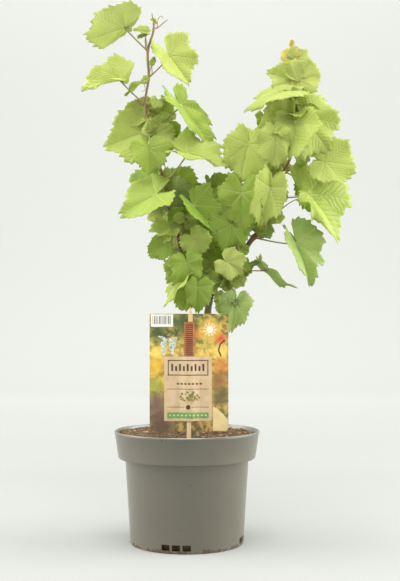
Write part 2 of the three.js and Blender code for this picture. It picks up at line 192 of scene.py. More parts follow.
grit, given, result = new_group(
    "grit", [("Vector", "Vector"), ("Scale", "Float"), ("Detail", "Float")], [("Height", "Float")])
feed(grit, result, {"Height": noise_at(grit, given["Vector"], given["Scale"], given["Detail"])})
print("shared effects:", patches.name, grit.name)


# %% Bump helper
def add_bump(tree, shader, height, strength, depth):
    """Feeds a height to the shader's normal; depth is in millimetres."""
    bump = add_node(tree, "ShaderNodeBump", {
        "Height": height, "Strength": strength, "Distance": depth * MM})
    feed(tree, shader, {"Normal": bump.outputs["Normal"]})


def stretched(tree, place, grain):
    """Coordinates that draw a pattern out along the axes where the grain is below one."""
    return add_node(tree, "ShaderNodeMapping", {
        "Vector": place, "Scale": grain}).outputs["Vector"]


def simple_finish(name, base, other, scale, roughness, bump=0.3, depth=0.3, grain=(1, 1, 1),
                  grain_scale=900.0, specular=0.5):
    """A finish with soft colour patches and a fine relief; grain stretches both."""
    material, tree, shader, place = new_material(name, roughness, specular)
    vector = stretched(tree, place, grain)
    drifting = use_group(tree, patches, Vector=vector, Colour=colour(*base),
                         Other=colour(*other), Scale=scale, Amount=1.0)
    feed(tree, shader, {"Base Color": drifting["Colour"]})
    height = use_group(tree, grit, Vector=vector, Scale=grain_scale, Detail=3.0)
    add_bump(tree, shader, height["Height"], bump, depth)
    return material


# %% Floor, wall and lights
FLOOR_HALF, WALL_HEIGHT, SWEEP_RADIUS = 4, 5, 1.6
floor_with_painted_light, tree, shader, place = new_material("floor_paper_painted_light", 0.85, 0.2)
# Painted light: the floor's grey is darker in front and lighter further off and up the wall. The
# wall also glows more the higher it rises. Both stand in for how the lamps light the backdrop.
away = ranged(tree, along_axis(tree, place, "Y"), 0.0, FLOOR_HALF)
painted_light_greys = [(0, 157), (0.125, 158), (0.25, 171), (0.375, 187), (0.54, 207), (0.82, 215), (1, 217)]
feed(tree, shader, {
    "Base Color": colour_stops(tree, away, [(at, (g, g + 1, g - 2)) for at, g in painted_light_greys]),
    "Emission Strength": node_math(tree, "MULTIPLY", along_axis(tree, place, "Z"), 0.14),
    "Emission Color": colour(252, 253, 248)})


def shift_new(mesh, grown, move):
    """Moves the points that an extrusion has just made."""
    bmesh.ops.translate(mesh, vec=move, verts=[
        part for part in grown["geom"] if isinstance(part, bmesh.types.BMVert)])


def bevel_edges(mesh, edges, offset, segments):
    """Rounds edges off."""
    bmesh.ops.bevel(mesh, geom=edges, offset=offset, segments=segments, affect="EDGES",
                    profile=0.5, material=-1)


sweep = bmesh.new()
bmesh.ops.create_grid(sweep, x_segments=1, y_segments=1, size=FLOOR_HALF)
wall_edge = [e for e in sweep.edges if all(v.co.y > FLOOR_HALF - 0.1 for v in e.verts)]
shift_new(sweep, bmesh.ops.extrude_edge_only(sweep, edges=wall_edge), (0, 0, WALL_HEIGHT))
bevel_edges(sweep, [e for e in sweep.edges if all(
    v.co.y > FLOOR_HALF - 0.1 and v.co.z < 1 for v in e.verts)], SWEEP_RADIUS, 16)
floor_mesh = bpy.data.meshes.new("floor")
sweep.to_mesh(floor_mesh)
sweep.free()
floor_mesh.shade_smooth()
floor_mesh.materials.append(floor_with_painted_light)
in_scene("floor", floor_mesh)

world = bpy.data.worlds.new("soft_room")
bpy.context.scene.world = world
world.use_nodes = True
tree = world.node_tree
facing = along_axis(tree, tree.nodes.new("ShaderNodeTexCoord").outputs["Generated"], "Y")
feed(tree, tree.nodes["Background"], {
    "Strength": ranged(tree, facing, -1.0, -0.1, 0.4, 1.6, smooth=True),
    "Color": colour(250, 251, 248)})


def soft_light(name, place, aim, size, power):
    """A square lamp of a size in metres that looks from its place to its aim."""
    light = bpy.data.lights.new(name, "AREA")
    light.size, light.energy = size, power
    lamp = in_scene(name, light)
    lamp.location = place
    lamp.rotation_euler = (Vector(aim) - Vector(place)).to_track_quat("-Z", "Y").to_euler()


soft_light("light_left", (-1.5, 0.0, 0.8), (0, 0, 0.25), 1.5, 31)
soft_light("light_right", (1.5, -0.05, 0.7), (0, 0, 0.25), 1.5, 35)
soft_light("light_above", (0, -0.9, 2.1), (0, 0, 0.45), 1.2, 32)
print("floor, wall and three soft lights")

# %% [markdown]
# ## The pot
#
# A thin injection-moulded pot: a tapering body, a wider collar with a ledge under it, a rounded
# lip, and drain slots low in the wall with narrow ribs between them. Its section is one closed
# profile of radius and height, so it is spun round the axis. The slots are cut from it with
# boxes, by a Boolean modifier, because a spun shape has no edges where they begin.

# %% Mesh helpers
def add_piece(name, mesh, replaced, materials, smooth=True):
    """Makes a mesh a piece of the plant: placed in millimetres, kept in metres."""
    mesh.transform(Matrix.Scale(MM, 4))
    for material in materials:
        mesh.materials.append(material)
    if smooth:
        mesh.shade_smooth()
    piece = in_scene(name, mesh)
    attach(piece, "root")
    if replaced:
        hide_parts(*replaced)
    print(name, len(mesh.polygons), "faces")
    return piece


def spun(profile, steps):
    """A closed solid: a profile of (radius, height) spun a full turn round Z."""
    made = bmesh.new()
    corners = [made.verts.new((radius, 0, height)) for radius, height in profile]
    edges = [made.edges.new(pair) for pair in zip(corners, corners[1:])]
    bmesh.ops.spin(made, geom=corners + edges, cent=(0, 0, 0), axis=(0, 0, 1),
                   angle=2 * math.pi, steps=steps, use_merge=True)
    bmesh.ops.remove_doubles(made, verts=made.verts, dist=1e-4)
    bmesh.ops.recalc_face_normals(made, faces=made.faces)
    return made


def mesh_of(made, name):
    """Turns a finished bmesh into a mesh and frees it."""
    mesh = bpy.data.meshes.new(name)
    made.to_mesh(mesh)
    made.free()
    return mesh


# %% Pot plastic
pot_plastic, tree, shader, place = new_material("pot_plastic", 0.3, 0.9)
plain = use_group(tree, patches, Vector=place, Colour=colour(101, 97, 83),
                  Other=colour(93, 89, 75), Scale=9.0, Amount=0.8)
specks = ranged(tree, noise_at(tree, place, 210.0, 2.0), 0.735, 0.76)
low_down = ranged(tree, along_axis(tree, place, "Z"), 0.016, 0.002)
splashes = node_math(tree, "MULTIPLY", noise_at(tree, place, 95.0, 5.0), low_down)
dirt = node_math(tree, "MAXIMUM", specks, node_math(tree, "GREATER_THAN", splashes, 0.47))
feed(tree, shader, {
    "Base Color": blended(tree, dirt, plain["Colour"], colour(84, 66, 44)),
    "Roughness": ranged(tree, dirt, 0.0, 1.0, 0.3, 0.9)})
add_bump(tree, shader, use_group(tree, grit, Vector=place, Scale=1400.0, Detail=2.0)["Height"],
         0.12, 0.15)
print("finish:", pot_plastic.name)

# %% Pot body
POT_SECTION = [
    (0, 1.6), (58, 1.6), (60, 0), (66.6, 0), (67.6, 0.9), (73.8, 100.4), (74.6, 101.6),
    (80.9, 101.6), (82, 102.6), (82.3, 104), (86.1, 130.8), (86.9, 131.8), (86.9, 133.1),
    (86.1, 134), (84.9, 134), (84.2, 133), (80, 104.6), (79.2, 103.8), (72.4, 103.8),
    (71.6, 103), (65.6, 4.2), (64.4, 3), (0, 3),
]
SLOT_TURNS = [-10, 80, 170, 260]
pot_mesh = mesh_of(spun(POT_SECTION, 144), "pot")
cutters = bmesh.new()
RIB_WIDTH, SLOT_WIDTH, SLOT_HEIGHT, SLOT_MIDDLE = 2.6, 9.6, 7.2, 6.8
for turn in SLOT_TURNS:
    for across in (-1, 0, 1):
        shift = Matrix.Translation((across * (SLOT_WIDTH + RIB_WIDTH), -67, SLOT_MIDDLE))
        sized = Matrix.Diagonal((SLOT_WIDTH, 12, SLOT_HEIGHT, 1))
        bmesh.ops.create_cube(cutters, size=1,
                              matrix=Matrix.Rotation(math.radians(turn), 4, "Z") @ shift @ sized)
bevel_edges(cutters, cutters.edges[:], 0.9, 2)
cutter = in_scene("slot_cutter", mesh_of(cutters, "slot_cutter"))
blank = in_scene("pot_blank", pot_mesh)
cut = blank.modifiers.new("slots", "BOOLEAN")
cut.object, cut.operation, cut.solver = cutter, "DIFFERENCE", "EXACT"


def finished_mesh(thing):
    """The mesh of an object with its modifiers or its bevel applied."""
    bpy.context.view_layer.update()
    return bpy.data.meshes.new_from_object(
        thing.evaluated_get(bpy.context.evaluated_depsgraph_get()))


pot_mesh = finished_mesh(blank)
for thing in (cutter, blank):
    bpy.data.objects.remove(thing)
pot = add_piece("nursery_pot", pot_mesh, ["pot"], [pot_plastic])
pot.data.set_sharp_from_angle(angle=math.radians(35))

# %% [markdown]
# ## The soil
#
# Potting soil is dark, moist and crumbly, with lighter bark chips on top. The body is a spun
# solid whose upper rings are moved up and down by smooth noise. Crumbs and chips are then
# scattered on it from one seed: each is a small rough lump, turned and squashed at random.

# %% Soil finishes
soil_dark = simple_finish("soil_dark", (104, 88, 62), (70, 58, 42), 130, 0.95, 0.9, 1.2,
                          grain_scale=500, specular=0.2)
crumb_brown = simple_finish("crumb_brown", (128, 110, 80), (86, 72, 52), 160, 0.95, 0.8, 0.6,
                            specular=0.2)
chip_light = simple_finish("chip_light", (168, 148, 112), (128, 108, 78), 200, 0.85, 0.6, 0.4,
                           specular=0.3)
chip_red = simple_finish("chip_red", (140, 106, 72), (98, 76, 54), 200, 0.85, 0.6, 0.4,
                         specular=0.3)
print("finishes:", soil_dark.name, crumb_brown.name, chip_light.name, chip_red.name)

# %% Soil body
SOIL_LEVEL, TRUNK_FOOT = 127, Vector((7, 0, 127.35))


def held(value):
    """Keeps a number between 0 and 1."""
    return min(1, max(0, value))


def soil_height(x, y):
    """The soil's surface: lumpy, higher at the back, and level where the trunk stands."""
    away = math.hypot(x - TRUNK_FOOT.x, y - TRUNK_FOOT.y)
    share = held((away - 13) / (13 * 1.2))
    uneven = share * share * (3 - 2 * share)
    lumps = math.sin(x * 0.11 + 1) * math.cos(y * 0.13) + 0.6 * math.sin(x * 0.23 - y * 0.19)
    small = noise.noise(Vector((x, y, 0)) * 0.16) * 1.5 + noise.noise(Vector((x, y, 9)) * 0.5) * 0.9
    back = held((y + 60) / 80)
    return (SOIL_LEVEL + uneven * (1.1 * lumps - 0.01 * x + 2.6 * back * back)
            + small * min(1, away / 12))


rings = [82.2 - step * 2 for step in range(41)]
soil_profile = [(0, 3.6), (64, 3.6), (70.6, 104.2), (78.6, 104.6)]
soil_profile += [(radius, SOIL_LEVEL) for radius in rings] + [(0, SOIL_LEVEL)]
soil_body = spun(soil_profile, 128)
for vert in soil_body.verts:
    if vert.co.z > SOIL_LEVEL - 1:
        vert.co.z = soil_height(vert.co.x, vert.co.y)
add_piece("potting_soil", mesh_of(soil_body, "soil"), ["soil"], [soil_dark])

# %% Crumbs and bark chips
CARD_MIDDLE, POT_INSIDE = -45.6, 82
scatter = random.Random(7)
crumbs = bmesh.new()


def add_lump(where, size, squash, tone):
    """A small rough lump lying at a random turn."""
    turn = Matrix.Rotation(scatter.uniform(0, 6.28), 4, "Z")
    turn @= Matrix.Rotation(scatter.uniform(-0.5, 0.5), 4, "X")
    shape = Matrix.Diagonal((size * scatter.uniform(0.8, 1.5), size * scatter.uniform(0.5, 0.9),
                             size * squash, 1))
    lump = bmesh.ops.create_icosphere(crumbs, subdivisions=1, radius=1,
                                      matrix=Matrix.Translation(where) @ turn @ shape)
    for vert in lump["verts"]:
        vert.co += Vector([scatter.uniform(-0.22, 0.22) * size * squash for _ in range(3)])
        for face in vert.link_faces:
            face.material_index = tone


LUMPS = [(900, 0.6, 1.7, 0.7, (0, 0, 1)), (210, 1.3, 3.0, 0.3, (1, 2, 1))]
for count, low, high, squash, tones in LUMPS:
    for _ in range(count):
        far = (POT_INSIDE - 1) * math.sqrt(scatter.random())
        angle = scatter.uniform(0, 2 * math.pi)
        x, y = far * math.cos(angle), far * math.sin(angle)
        size, tone = scatter.uniform(low, high), scatter.choice(tones)
        clear_of_card = abs(y - CARD_MIDDLE) > size + 3
        clear_of_trunk = math.hypot(x - TRUNK_FOOT.x, y) > size + 9
        if clear_of_card and clear_of_trunk and far + size * 1.6 < POT_INSIDE:
            add_lump((x, y, soil_height(x, y) + size * squash * 0.4), size, squash, tone)
add_piece("soil_crumbs", mesh_of(crumbs, "soil_crumbs"), [],
          [crumb_brown, chip_red, chip_light], smooth=False)

# %% [markdown]
# ## Trunk and shoots
#
# The trunk is old wood: brown, furrowed lengthwise, flared at the soil and ending in a knobbly
# head where it was pruned. The two shoots are this year's canes: thinner, reddish brown, a
# little zigzag, and swollen at each node. All are tubes along a smooth curve. A curve object with
# a round bevel makes the tube, and its points carry the radius. Noise then moves the surface.

# %% Tubes along curves
def strand_mesh(name, strands, roundness):
    """One mesh of closed tubes; each strand is (points, radii), in millimetres."""
    data = bpy.data.curves.new(name, "CURVE")
    data.dimensions, data.bevel_depth, data.bevel_resolution = "3D", 1, roundness
    data.use_fill_caps = True
    for points, radii in strands:
        spline = data.splines.new("POLY")
        spline.points.add(len(points) - 1)
        spline.points.foreach_set("co", [c for p in points for c in (p[0], p[1], p[2], 1)])
        spline.points.foreach_set("radius", [float(radius) for radius in radii])
    carrier = in_scene(name, data)
    mesh = finished_mesh(carrier)
    bpy.data.objects.remove(carrier)
    merged = bmesh.new()
    merged.from_mesh(mesh)
    bmesh.ops.remove_doubles(merged, verts=merged.verts, dist=1e-5)
    bmesh.ops.recalc_face_normals(merged, faces=merged.faces)
    merged.to_mesh(mesh)
    merged.free()
    mesh.materials.clear()
    return mesh


def through(points, steps):
    """Points along a smooth centripetal curve through the given ones."""
    points = [Vector(p) for p in points]
    ends = [points[0] * 2 - points[1], *points, points[-1] * 2 - points[-2]]
    curve = []
    for a, b, c, d in zip(ends, ends[1:], ends[2:], ends[3:]):
        first, middle, last = [(q - p).length ** 0.5 for p, q in ((a, b), (b, c), (c, d))]
        leave = ((b - a) / first - (c - a) / (first + middle) + (c - b) / middle) * middle
        reach = ((c - b) / middle - (d - b) / (middle + last) + (d - c) / last) * middle
        for step in range(steps):
            t = step / steps
            curve.append(
                b * (2 * t**3 - 3 * t**2 + 1) + leave * (t**3 - 2 * t**2 + t)
                + c * (3 * t**2 - 2 * t**3) + reach * (t**3 - t**2))
    return curve + [points[-1]]


def roughened(mesh, depth, across, along, seed):
    """Moves a mesh's surface in and out by noise drawn out along Z."""
    mesh.update()
    moves = []
    for vert in mesh.vertices:
        spot = Vector((vert.co.x * across, vert.co.y * across, vert.co.z * along + seed))
        push = noise.noise(spot) + 0.5 * noise.noise(spot * 2.3)
        moves.append(vert.co + vert.normal * depth * push)
    for vert, place in zip(mesh.vertices, moves):
        vert.co = place


# %% Woody finishes
bark = simple_finish("old_bark", (138, 126, 98), (88, 76, 56), 110, 0.9, 0.9, 0.8,
                     grain=(1, 1, 0.22), grain_scale=620, specular=0.25)
cane, tree, shader, place = new_material("young_cane", 0.5)
age = ranged(tree, along_axis(tree, place, "Z"), 0.30, 0.60)
ripening = colour_stops(tree, age, [(0, (98, 76, 52)), (0.4, (126, 98, 64)), (1, (146, 122, 76))])
striped = stretched(tree, place, (1, 1, 0.12))
streaked = use_group(tree, patches, Vector=striped, Colour=ripening, Other=colour(88, 68, 44),
                     Scale=420.0, Amount=0.7)
feed(tree, shader, {"Base Color": streaked["Colour"]})
add_bump(tree, shader, use_group(tree, grit, Vector=striped, Scale=900.0, Detail=2.0)["Height"],
         0.5, 0.4)
print("finishes:", bark.name, cane.name)

# %% Trunk
KNOB = Vector((28.6, 0, 300))
trunk_curve = through([TRUNK_FOOT, (9, 0, 153), (18, 1, 212), (25, 0, 275), (28, 0, 300)], 30)
total = len(trunk_curve) - 1
trunk_radii = [4.6 + 3.4 * math.exp(-14 * i / total) - 0.4 * i / total for i in range(total + 1)]
stub = through([(29, 0, 300), (34, -1, 299), (39, -2, 295)], 8)
wood = strand_mesh("trunk", [(trunk_curve, trunk_radii),
                             (stub, np.linspace(2.2, 1.2, len(stub)))], 8)
head = bmesh.new()
head.from_mesh(wood)
knob = bmesh.ops.create_icosphere(head, subdivisions=4, radius=6.4,
                                  matrix=Matrix.Translation(KNOB))
for vert in knob["verts"]:
    out = vert.co - KNOB
    vert.co += out * (0.22 * noise.noise(out * 0.34) + 0.1 * noise.noise(out * 0.9))
head.to_mesh(wood)
head.free()
roughened(wood, 0.75, 0.42, 0.09, 3)
for vert in wood.vertices:
    vert.co.z = max(vert.co.z, TRUNK_FOOT.z)
add_piece("vine_trunk", wood, ["trunk"], [bark])

# %% Shoots
SHOOTS = {
    "left": [
        (28, 0, 303, 2.6), (8, -1, 330, 2.3), (-6, -3, 344, 2.4), (-13, -5, 374, 2.3),
        (-25, -5, 410, 1.9), (-27, -6, 429, 2.1), (-44, -5, 482, 1.6), (-44, -5, 493, 1.8),
        (-50, -3, 524, 1.7), (-46, 0, 557, 1.7), (-47, 0, 589, 1.7), (-40, 0, 615, 1.5),
        (-42, 0, 634, 0.6),
    ],
    "right": [
        (31, 0, 303, 3), (47, -3, 320, 2.5), (49, -4, 328, 2.3), (65, -5, 345, 3.2),
        (80, -5, 365, 3.4), (94, -4, 379, 2.4), (103, -2, 406, 2.2), (105, -2, 413, 2.4),
        (110, 0, 432, 2.1), (125, 3, 464, 1.8), (129, 6, 530, 1.5), (131, 6, 560, 1.3),
        (125, 2, 599, 0.6),
    ],
}
NODE_STEPS = 14
axes = {name: through([n[:3] for n in nodes], NODE_STEPS) for name, nodes in SHOOTS.items()}


def shoot_point(name, height):
    """The middle of a shoot, or of the trunk's head, at a height."""
    if name == "head":
        return Vector((29, 0, 300))
    path = axes[name]
    above = next((i for i, p in enumerate(path) if p.z >= height), len(path) - 1)
    a, b = path[max(0, above - 1)], path[above]
    return a.lerp(b, 0 if b.z == a.z else held((height - a.z) / (b.z - a.z)))


for name, nodes in SHOOTS.items():
    radii = []
    for a, b in zip(nodes, nodes[1:]):
        for step in range(NODE_STEPS):
            share = step / NODE_STEPS
            swell = 0.22 * (math.exp(-(share * 9) ** 2) + math.exp(-((1 - share) * 9) ** 2))
            radii.append((a[3] + (b[3] - a[3]) * share) * (0.92 + swell))
    radii.append(nodes[-1][3])
    shoot = strand_mesh("shoot_" + name, [(axes[name], radii)], 4)
    roughened(shoot, 0.16, 0.8, 0.3, 5)
    add_piece("cane_" + name, shoot,
              [f"shoot_{name}_{span}" for span in ("lower", "middle", "upper")], [cane])

# %% [markdown]
# ## How a vine leaf is shaped
#
# A vine leaf is round in outline with five shallow lobes, toothed all round, and open where the
# stalk joins. Five main veins run from that joint, one to each lobe, and the blade bulges a
# little between them. A flat disc is spun once for the large leaves, and a coarser one for the
# small: each point keeps its angle and its share of the way out, and a formula puts it in place.
#
# The same formula places the ridges under a leaf, so they follow it whatever its fold and droop.

# %% Blade disc
def blade_disc(spokes, shares):
    """A disc of rings: the share of the way out and the angle of each point, and its faces."""
    disc = bmesh.new()
    line = [disc.verts.new((share, 0, 0)) for share in (0, *shares)]
    edges = [disc.edges.new(pair) for pair in zip(line, line[1:])]
    bmesh.ops.spin(disc, geom=line + edges, cent=(0, 0, 0), axis=(0, 0, 1), angle=2 * math.pi,
                   steps=spokes, use_merge=True)
    bmesh.ops.remove_doubles(disc, verts=disc.verts, dist=1e-5)
    disc.faces.ensure_lookup_table()
    if disc.faces[0].normal.z < 0:
        bmesh.ops.reverse_faces(disc, faces=disc.faces)
    disc.verts.index_update()
    flat = np.array([vert.co[:2] for vert in disc.verts])
    faces = [[vert.index for vert in face.verts] for face in disc.faces]
    disc.free()
    return np.hypot(*flat.T), np.arctan2(flat[:, 1], flat[:, 0]), faces


TEETH = 30
large_disc = blade_disc(4 * TEETH, (0.14, 0.28, 0.42, 0.56, 0.69, 0.8, 0.9, 1))
small_disc = blade_disc(2 * TEETH, (0.3, 0.6, 0.85, 1))
print("blade disc:", len(large_disc[0]), "points; small:", len(small_disc[0]))

# %% Blade formula
# Pairs of an angle from the midrib, in degrees, and the blade's reach there.
OUTLINE = [(0, 0.97), (7, 0.94), (16, 0.88), (25, 0.84), (33, 0.85), (41, 0.88), (47, 0.9),
           (53, 0.87), (63, 0.8), (73, 0.77), (82, 0.77), (91, 0.78), (98, 0.78), (106, 0.74),
           (116, 0.67), (127, 0.63), (137, 0.61), (148, 0.54), (160, 0.41), (170, 0.25),
           (180, 0.06)]
VEINS = [0, 47, -47, 98, -98]
LEAF_THICKNESS = 0.36


def outline_at(angle, trims=()):
    """Reach of the blade at an angle; trims are (side, pairs of angle and factor)."""
    turn = np.degrees(np.abs(angle))
    reach = np.interp(turn, *zip(*OUTLINE))
    for side, pairs in trims:
        reach = np.where(np.sign(angle) == side, reach * np.interp(turn, *zip(*pairs)), reach)
    return reach


class Leaf:
    """One leaf: the joint of stalk and blade, and the blade's measures and turns."""

    def __init__(self, joint, length, width, aim, out, roll, fold, droop, tone, seed, trims=()):
        self.joint, self.length, self.width, self.trims = joint, length, width, trims
        self.fold, self.droop, self.tone = math.radians(fold), math.radians(droop), tone
        aim, out, roll = map(math.radians, (aim, out, roll))
        self.along = Vector((math.cos(aim) * math.cos(out), -math.sin(out),
                             math.sin(aim) * math.cos(out)))
        face = (Vector((0, -1, 0)) + self.along * self.along.y).normalized()
        self.face = Matrix.Rotation(roll, 3, self.along) @ face
        self.across = self.face.cross(self.along)
        own = random.Random(seed)
        self.phases = [own.uniform(0, 6.28) for _ in range(4)]
        self.shade = own.random()
        self.wave = own.uniform(0.03, 0.065)
        self.curl = own.uniform(-0.05, 0.09)
        self.lean = own.uniform(-0.08, 0.08)

    def place(self, share, angle, height):
        """Points of the blade, in millimetres, as rows of x, y, z."""
        size, waves = self.length, self.phases
        turns = angle * TEETH / (2 * math.pi)
        tooth = np.mod(turns + 0.01, 1)
        tooth = np.where(angle < 0, np.mod(1.02 - tooth, 1), tooth)
        each = np.floor(np.abs(angle) * TEETH / (2 * math.pi) + 0.01)
        jag = (1 - tooth) * np.minimum(1, tooth * 4.1)
        jag = jag * (0.75 + 0.35 * np.sin(each * 2.4 + waves[1]))
        uneven = 0.05 * np.sin(angle * 4 + waves[0]) + 0.03 * np.sin(angle * 7 + waves[1])
        reach = size * outline_at(angle, self.trims) * share * (1 + uneven * share)
        reach = reach * (1 + share**7 * (0.18 * jag - 0.045))
        along = reach * np.cos(angle)
        across = reach * np.sin(angle) * self.width * (1 + self.lean * np.sign(angle))
        ripple = 0.035 * size * share**2 * np.sin(angle * 5 + size)
        ripple = ripple + self.wave * size * share**3 * np.sin(angle * 7 + waves[2])
        between = np.abs(np.degrees(angle)) / 49
        bulge = 0.035 * size * np.sin(math.pi * np.mod(between, 1)) * share * (1.25 - share)
        curled = -self.curl * size * share**4
        lift = np.abs(across) * math.sin(self.fold) + ripple + bulge + curled + height
        radius = size / self.droop
        turn = along / radius
        u, v = (radius + lift) * np.sin(turn), across * math.cos(self.fold)
        w = (radius + lift) * np.cos(turn) - radius
        return (np.array(self.joint) + np.outer(u, self.along) + np.outer(v, self.across)
                + np.outer(w, self.face))


def vein_frame(disc):
    """For each corner of a disc's faces: how far along its sector's main vein, and how far off."""
    share, angle, faces = disc
    flat = np.stack([share * outline_at(angle) * np.cos(angle),
                     share * outline_at(angle) * np.sin(angle)])
    rows = []
    for face in faces:
        middle = flat[:, face].mean(axis=1)
        turn = math.atan2(middle[1], middle[0])
        vein = min((math.radians(v) for v in VEINS), key=lambda v: abs(turn - v))
        for x, y in flat[:, face].T:
            rows.append((x * math.cos(vein) + y * math.sin(vein),
                         y * math.cos(vein) - x * math.sin(vein)))
    return np.array(rows)


large_frame, small_frame = vein_frame(large_disc), vein_frame(small_disc)
print("vein frames:", len(large_frame), len(small_frame))

# %% [markdown]
# ## Leaf colours
#
# Young leaves at the tips are yellow-green, older ones a fuller green, and the shaded ones low
# and deep in the plant are darker or bluish. A few at the top have a golden cast. Every tone
# has its own upper side and a paler, duller underside. A leaf lets some light through, so a
# share of a translucent shader is mixed in. The veins are drawn by a pattern that reads each
# leaf's own map: pale lines in the colour, and a swelling of the blade between them.

# %% Vein pattern
venation, given, result = new_group(
    "venation", [("Vector", "Vector")], [("Line", "Float"), ("Height", "Float")])


main_way = along_axis(venation, given["Vector"], "X")
off = node_math(venation, "ABSOLUTE", along_axis(venation, given["Vector"], "Y"))
wobble = noise_at(venation, given["Vector"], 5.0, 1.0)
slant = node_math(venation, "SUBTRACT", node_math(venation, "MULTIPLY", main_way, 9.5),
                  node_math(venation, "MULTIPLY", off, 8.5))
slant = node_math(venation, "ADD", slant, node_math(venation, "MULTIPLY", wobble, 0.9))
ribbed = node_math(venation, "PINGPONG", slant, 0.5)
branch = ranged(venation, ribbed, 0.0, 0.11, 0.4, 0.0, smooth=True)
main = ranged(venation, off, 0.004, 0.026, 1.0, 0.0, smooth=True)
net = add_node(venation, "ShaderNodeTexVoronoi", {"Vector": given["Vector"], "Scale": 34.0},
               feature="DISTANCE_TO_EDGE")
swell = node_math(venation, "MULTIPLY", node_math(venation, "SQRT", ribbed), 0.9)
swell = node_math(venation, "ADD", swell,
                  node_math(venation, "MULTIPLY", net.outputs["Distance"], 0.5))
swell = node_math(venation, "SUBTRACT", swell, node_math(venation, "MULTIPLY", main, 0.5))
feed(venation, result, {"Line": node_math(venation, "MAXIMUM", branch, main), "Height": swell})
print("vein pattern:", len(venation.nodes), "nodes")

# %% Leaf finishes
VEIN_TINT = (0.8, 0.84, 0.42, 1)


def leaf_finish(name, base, other, roughness, pale_veins):
    """One side of a leaf: each leaf has its own shade, with paler veins, and lets light through."""
    material, tree, shader, place = new_material(name, roughness, 0.35)
    own = add_node(tree, "ShaderNodeAttribute", {}, attribute_name="shade").outputs["Fac"]
    drifting = use_group(tree, patches, Vector=place, Colour=blended(tree, own, base, other),
                         Other=other, Scale=75.0, Amount=0.8)
    on_blade = add_node(tree, "ShaderNodeUVMap", {}, uv_map="veins").outputs["UV"]
    veins = use_group(tree, venation, Vector=on_blade)
    vein_colour = tuple(c * 0.55 + pale * 0.45 for c, pale in zip(base, VEIN_TINT))
    lined = blended(tree, node_math(tree, "MULTIPLY", veins["Line"], pale_veins),
                    drifting["Colour"], vein_colour)
    feed(tree, shader, {"Base Color": lined})
    add_bump(tree, shader, veins["Height"], 1.0, 0.8)
    glow = add_node(tree, "ShaderNodeBsdfTranslucent", {"Color": lined})
    both = add_node(tree, "ShaderNodeMixShader", {
        0: 0.46, 1: shader.outputs["BSDF"], 2: glow.outputs["BSDF"]})
    feed(tree, tree.nodes["Material Output"], {"Surface": both.outputs["Shader"]})
    return material


TONES = {
    "young": ((212, 220, 132), (196, 210, 110)),
    "mid": ((204, 216, 116), (180, 200, 92)),
    "deep": ((188, 206, 96), (154, 182, 70)),
    "blue": ((198, 214, 138), (170, 194, 108)),
    "gold": ((242, 232, 142), (232, 220, 122)),
}
leaf_materials = []
for tone, (base, other) in TONES.items():
    pale = [tuple(int(c + (214 - c) * 0.28) for c in shade) for shade in (base, other)]
    leaf_materials.append(leaf_finish("leaf_" + tone, colour(*base), colour(*other), 0.46, 0.4))
    leaf_materials.append(leaf_finish("leaf_under_" + tone, colour(*pale[0]), colour(*pale[1]),
                                      0.62, 0.7))
TONE_PLACE = {tone: 2 * i for i, tone in enumerate(TONES)}
vein_pale = simple_finish("leaf_vein", (206, 216, 128), (176, 196, 96), 90, 0.5, 0.1, 0.1)
stalk_red = simple_finish("leaf_stalk", (152, 118, 84), (140, 150, 76), 40, 0.5, 0.2, 0.1)
print(len(leaf_materials), "leaf finishes")

# %% [markdown]
# ## The leaves one by one
#
# Each large leaf has a row: where its stalk leaves the shoot, the reach to its joint, length,
# width factor, then in degrees the way the midrib points in the front view, how far it points
# forward, the roll about it, the fold of its halves and the droop of its tip, and last the tone.
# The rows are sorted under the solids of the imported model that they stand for.

